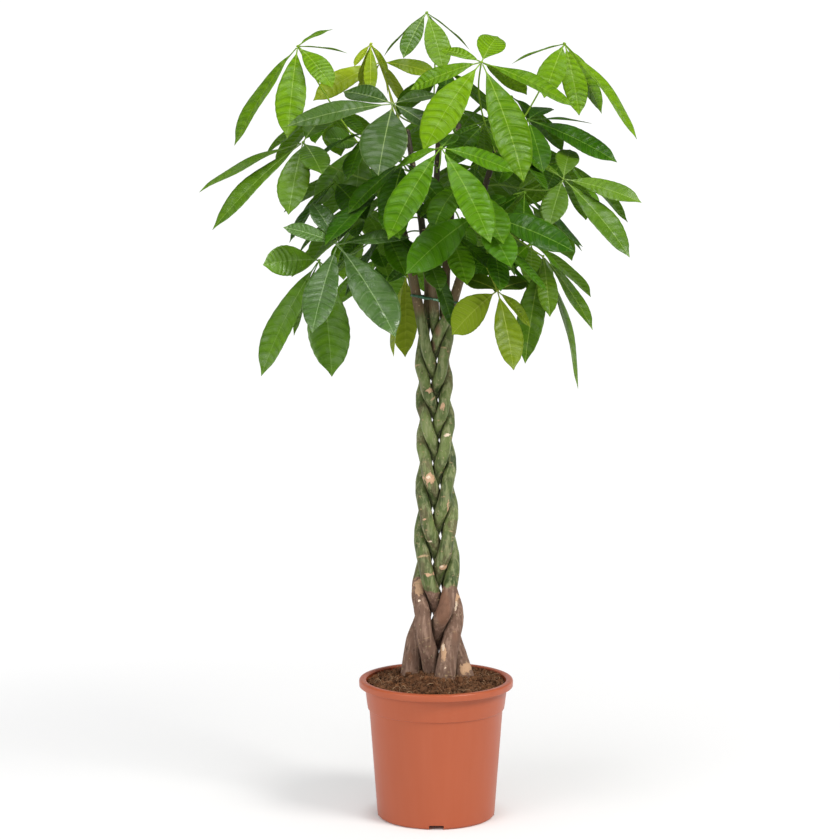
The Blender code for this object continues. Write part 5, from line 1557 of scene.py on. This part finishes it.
def blade(leaflet, quilt, tone_set, rows, half_cols, rng):
    """A leaflet as one thin closed skin with a rib, side veins and a soft wave."""
    verts = []
    shape = []
    cols = 2 * half_cols + 1
    chance = rng.uniform(0.0, 1.0)
    if tone_set is not None:
        chance = tone_set
    sway = rng.uniform(0.0, 6.28)
    twist = rng.uniform(-0.06, 0.06)
    veins = 11.0 + 3.0 * rng.uniform(0.0, 1.0)
    spacing = leaflet.length / veins
    wave = min(0.0014, 0.010 * leaflet.length)
    ring = []
    for j in range(rows + 1):
        f = j / rows
        s = 0.02 + 0.98 * (f + 0.06 * math.sin(FULL * f) * 0.5)
        p = leaflet.at(s)
        t = leaflet.tangent(s)
        left = (leaflet.left - t * leaflet.left.dot(t)).normalized()
        n = t.cross(left)
        turn = twist * s
        left, n = left * math.cos(turn) + n * math.sin(turn), n * math.cos(turn) - left * math.sin(turn)
        w = max(leaflet.half * blade_width(s), 0.0009 * (1.0 - s) + 0.00015)
        rib = 0.0009 * (1.0 - s) ** 0.6 + 0.0001
        thin = 0.00022 * min(1.0, 0.4 + (1.0 - s) * 6.0)
        upper = []
        lower = []
        for c in range(cols):
            v = (c - half_cols) / half_cols
            v = math.copysign(abs(v) ** 1.15, v) if c != half_cols else 0.0
            x = v * w
            side = 1.0 if v >= 0.0 else -1.0
            phase = (s * leaflet.length - abs(x) * 0.20 - 0.30 * x * x / max(leaflet.half, 0.004)) / spacing
            phase += (0.12 + 0.10 * math.sin(5.0 * s + sway)) * min(1.0, -x / 0.004) if side < 0.0 else 0.0
            phase += 0.30 * math.sin(7.0 * s + sway)
            gap = abs(phase - round(phase))
            swell = 1.0 - (1.0 - min(gap / 0.42, 1.0)) ** 2
            room = min(1.0, w / 0.010) * (1.0 - v ** 4)
            lift = FOLD * w * (math.sqrt(v * v + 0.004) - 0.063) * 1.05 - 0.035 * w * v * v
            swing = math.sin(FULL * 1.7 * s + sway + (0.9 if side > 0.0 else 0.0))
            lift += wave * v * v * swing * min(1.0, w / 0.008)
            lift += quilt * (swell - 0.5) * room * min(1.0, abs(v) * 4.0)
            groove = math.exp(-(x / 0.0008) ** 2)
            edge_x = x * (1.0 + 0.012 * math.sin(FULL * phase))
            mid = p + left * edge_x + n * lift
            upper.append(mid + n * (thin - 0.00030 * groove * min(1.0, w / 0.004)))
            lower.append(mid - n * (thin + rib * groove))
            shape.append((s, v, phase, abs(x) * 1000.0))
        row = []
        for c in range(cols):
            verts.append(upper[c])
            row.append(len(verts) - 1)
        for c in range(cols - 1, -1, -1):
            verts.append(lower[c])
            row.append(len(verts) - 1)
        ring.append(row)
    attr_blade = []
    attr_tone = []
    at = 0
    for j in range(rows + 1):
        line = shape[at:at + cols]
        at += cols
        for s, v, phase, span in line:
            attr_blade.append((s, v, phase))
            attr_tone.append((chance, 0.0, span))
        for s, v, phase, span in reversed(line):
            attr_blade.append((s, v, phase))
            attr_tone.append((chance, 1.0, span))
    loop = 2 * cols
    faces = ring_faces(ring)
    for end, order in ((0, -1), (rows, 1)):
        row = ring[end]
        for c in range(cols - 1):
            quad = (row[c], row[c + 1], row[loop - 2 - c], row[loop - 1 - c])
            faces.append(quad if order > 0 else tuple(reversed(quad)))
    return verts, faces, attr_blade, attr_tone


def stalk_and_hub(leaf, chance):
    """The stalk, swollen at both ends, and the knob that carries the leaflets."""
    hub = leaf.hub
    axis = leaf.axis
    control = [leaf.stalk[0] - leaf.normal * 0.0016] + leaf.stalk + [hub + axis * 0.0004]
    pts = []
    for k in range(len(control) - 1):
        a = control[max(k - 1, 0)]
        b = control[k]
        c = control[k + 1]
        d = control[min(k + 2, len(control) - 1)]
        for m in range(5):
            f = m / 5.0
            pts.append(0.5 * ((2.0 * b) + (c - a) * f + (2.0 * a - 5.0 * b + 4.0 * c - d) * f * f
                              + (3.0 * b - a - 3.0 * c + d) * f * f * f))
    pts.append(control[-1])
    total = len(pts)
    rad = []
    for k in range(total):
        f = k / (total - 1.0)
        swelling = 0.0011 * math.exp(-(f / 0.045) ** 2) + 0.0007 * math.exp(-((1.0 - f) / 0.05) ** 2)
        rad.append(0.00125 + swelling)
    verts, faces = tube(pts, rad, 12)
    one = Vector((1.0, 0.0, 0.0)) - axis * axis.x
    if one.length < 0.2:
        one = Vector((0.0, 1.0, 0.0)) - axis * axis.y
    one.normalize()
    two = axis.cross(one)
    ring_count = 7
    around = 18
    rings = []
    for j in range(1, ring_count):
        a = math.pi * j / ring_count - math.pi / 2.0
        rings.append(range(len(verts), len(verts) + around))
        for k in range(around):
            b = FULL * k / around
            r = HUB_R * 0.80 * math.cos(a) * (1.0 + 0.10 * math.cos(len(leaf.leaflets) * b))
            h = 0.0018 * math.sin(a)
            verts.append(hub + one * (r * math.cos(b)) + two * (r * math.sin(b)) + axis * h)
    verts.append(hub - axis * 0.0018)
    verts.append(hub + axis * 0.0018)
    low = len(verts) - 2
    high = len(verts) - 1
    faces += ring_faces(rings)
    for k in range(around):
        m = (k + 1) % around
        faces.append((low, rings[0][m], rings[0][k]))
        faces.append((rings[-1][k], rings[-1][m], high))
    shape = [(0.0, 0.0, 0.25)] * len(verts)
    tone = [(chance, 1.0, 0.55)] * len(verts)
    return verts, faces, shape, tone


def build_leaves(placed, rng):
    """One piece for each leaf: its stalk, its knob and its leaflets."""
    materials = {name: leaf_material(name) for name in LEAF_LOOKS}
    for number, leaf in enumerate(placed):
        front = number < len(LEAVES)
        style = STYLES[number] if front else INNER_STYLES[(number + 1) % 4]
        if number == len(placed) - 1:
            style = "young"
        rows, half_cols = (56, 7) if front else (36, 5)
        verts, faces, shape, tone = stalk_and_hub(leaf, rng.uniform(0.3, 0.8))
        quilt = QUILT * (0.45 + 0.55 * LEAF_LOOKS[style][6])
        for order, leaflet in enumerate(leaf.leaflets):
            tone_set = TONES.get((number + 1, order))
            part, part_faces, part_shape, part_tone = blade(leaflet, quilt, tone_set, rows, half_cols, rng)
            add_part(verts, faces, part, part_faces)
            shape += part_shape
            tone += part_tone
        node = "leaf_%02d" % (number + 1)
        make_piece("fine_" + node, verts, faces, materials[style], node,
                   {"blade": shape, "tone": tone})


# ================================================================ studio
CAMERA_PLACE = (-0.025, -3.5, 0.995)
CAMERA_DOWN = 6.1
LENS = 97.97
WHITE = (1.0, 1.0, 1.0, 1.0)
BACKDROP = 1.06
# name, place, aim, size, power, colour
LIGHTS = [
    ("key", (2.0, -1.7, 2.9), (0.0, 0.0, 0.75), 1.2, 98.0, (1.0, 0.985, 0.95)),
    ("top", (-0.2, -0.4, 3.3), (0.0, 0.0, 0.9), 1.8, 42.0, (1.0, 1.0, 1.0)),
    ("fill", (-2.2, -2.4, 1.8), (0.0, 0.0, 0.8), 1.8, 44.0, (1.0, 1.0, 1.0)),
]


def add_camera():
    camera = bpy.data.cameras.new("camera")
    camera.sensor_width = 36.0
    camera.lens = LENS
    camera.clip_end = 200.0
    cam = add_object("camera", camera)
    cam.location = CAMERA_PLACE
    cam.rotation_euler = (math.radians(90.0 - CAMERA_DOWN), 0.0, 0.0)
    bpy.context.scene.camera = cam


def floor_material():
    """Pale paper that glows more and more away from the pot, so that it ends in plain white."""
    mat, n = new_material("pale_floor")
    place = n.place()
    grain = n.noise(place, 3.0, 2.0)
    x, y, _ = n.split(place)
    away = n.math("SQRT", n.plus(n.times(x, x), n.times(y, y)))
    paper = n.add("ShaderNodeBsdfPrincipled", {
        "Base Color": n.mix(grain, (0.90, 0.90, 0.905), (0.92, 0.92, 0.92)),
        "Roughness": 0.85, "Specular IOR Level": 0.1})
    far = n.add("ShaderNodeEmission", {"Color": WHITE, "Strength": BACKDROP})
    glow = n.times(n.ramp(away, 0.2, 1.9, 0.38, 1.0), n.ramp(away, 0.080, 0.130))
    both = n.add("ShaderNodeMixShader", {0: glow, 1: paper.outputs[0], 2: far.outputs[0]})
    n.add("ShaderNodeOutputMaterial", {"Surface": both.outputs[0]})
    return mat


def add_floor():
    bm = bmesh.new()
    bmesh.ops.create_circle(bm, cap_ends=True, radius=30.0, segments=96)
    mesh = bpy.data.meshes.new("floor")
    bm.to_mesh(mesh)
    bm.free()
    mesh.materials.append(floor_material())
    add_object("floor", mesh)


def add_backdrop():
    """A world that is white at the horizon and dim above."""
    world = bpy.data.worlds.new("studio")
    world.use_nodes = True
    n = Nodes(world.node_tree)
    up = n.split(n.add("ShaderNodeTexCoord").outputs["Generated"])[2]
    level = n.ramp(up, 0.10, 0.42, BACKDROP, 0.24)
    back = n.add("ShaderNodeBackground", {"Color": WHITE, "Strength": level})
    n.add("ShaderNodeOutputWorld", {"Surface": back.outputs[0]})
    bpy.context.scene.world = world


def add_lights():
    for name, place, aim, size, power, color in LIGHTS:
        lamp = bpy.data.lights.new(name, "AREA")
        lamp.size = size
        lamp.energy = power
        lamp.color = color
        light = add_object(name, lamp)
        light.location = place
        light.rotation_euler = (Vector(aim) - Vector(place)).to_track_quat("-Z", "Y").to_euler()


def main():
    rng = np.random.default_rng(405)
    z, paths, radius = stem_centres()
    lines, radii = stem_lines(z, paths, radius)
    trees = []
    blocks = []
    for line, rad in zip(lines, radii):
        verts, faces = tube(line, rad, STEM_SIDES, dome=True)
        trees.append(BVHTree.FromPolygons([tuple(v) for v in verts], faces))
        blocks.append(Solid(*tube(line, [r + CLEAR * 0.4 for r in rad], STEM_SIDES, dome=True)))
    verts, faces, front = tie_solid(lines, radii)
    blocks.append(Solid(verts, faces))
    placed = place_leaves(lines, trees, blocks)
    add_camera()
    add_floor()
    add_backdrop()
    add_lights()
    bpy.context.scene.view_settings.view_transform = "Standard"
    build_pot()
    build_soil(rng)
    build_stems(z, paths, radius, rng)
    build_tie(lines, radii, front)
    build_leaves(placed, rng)


main()
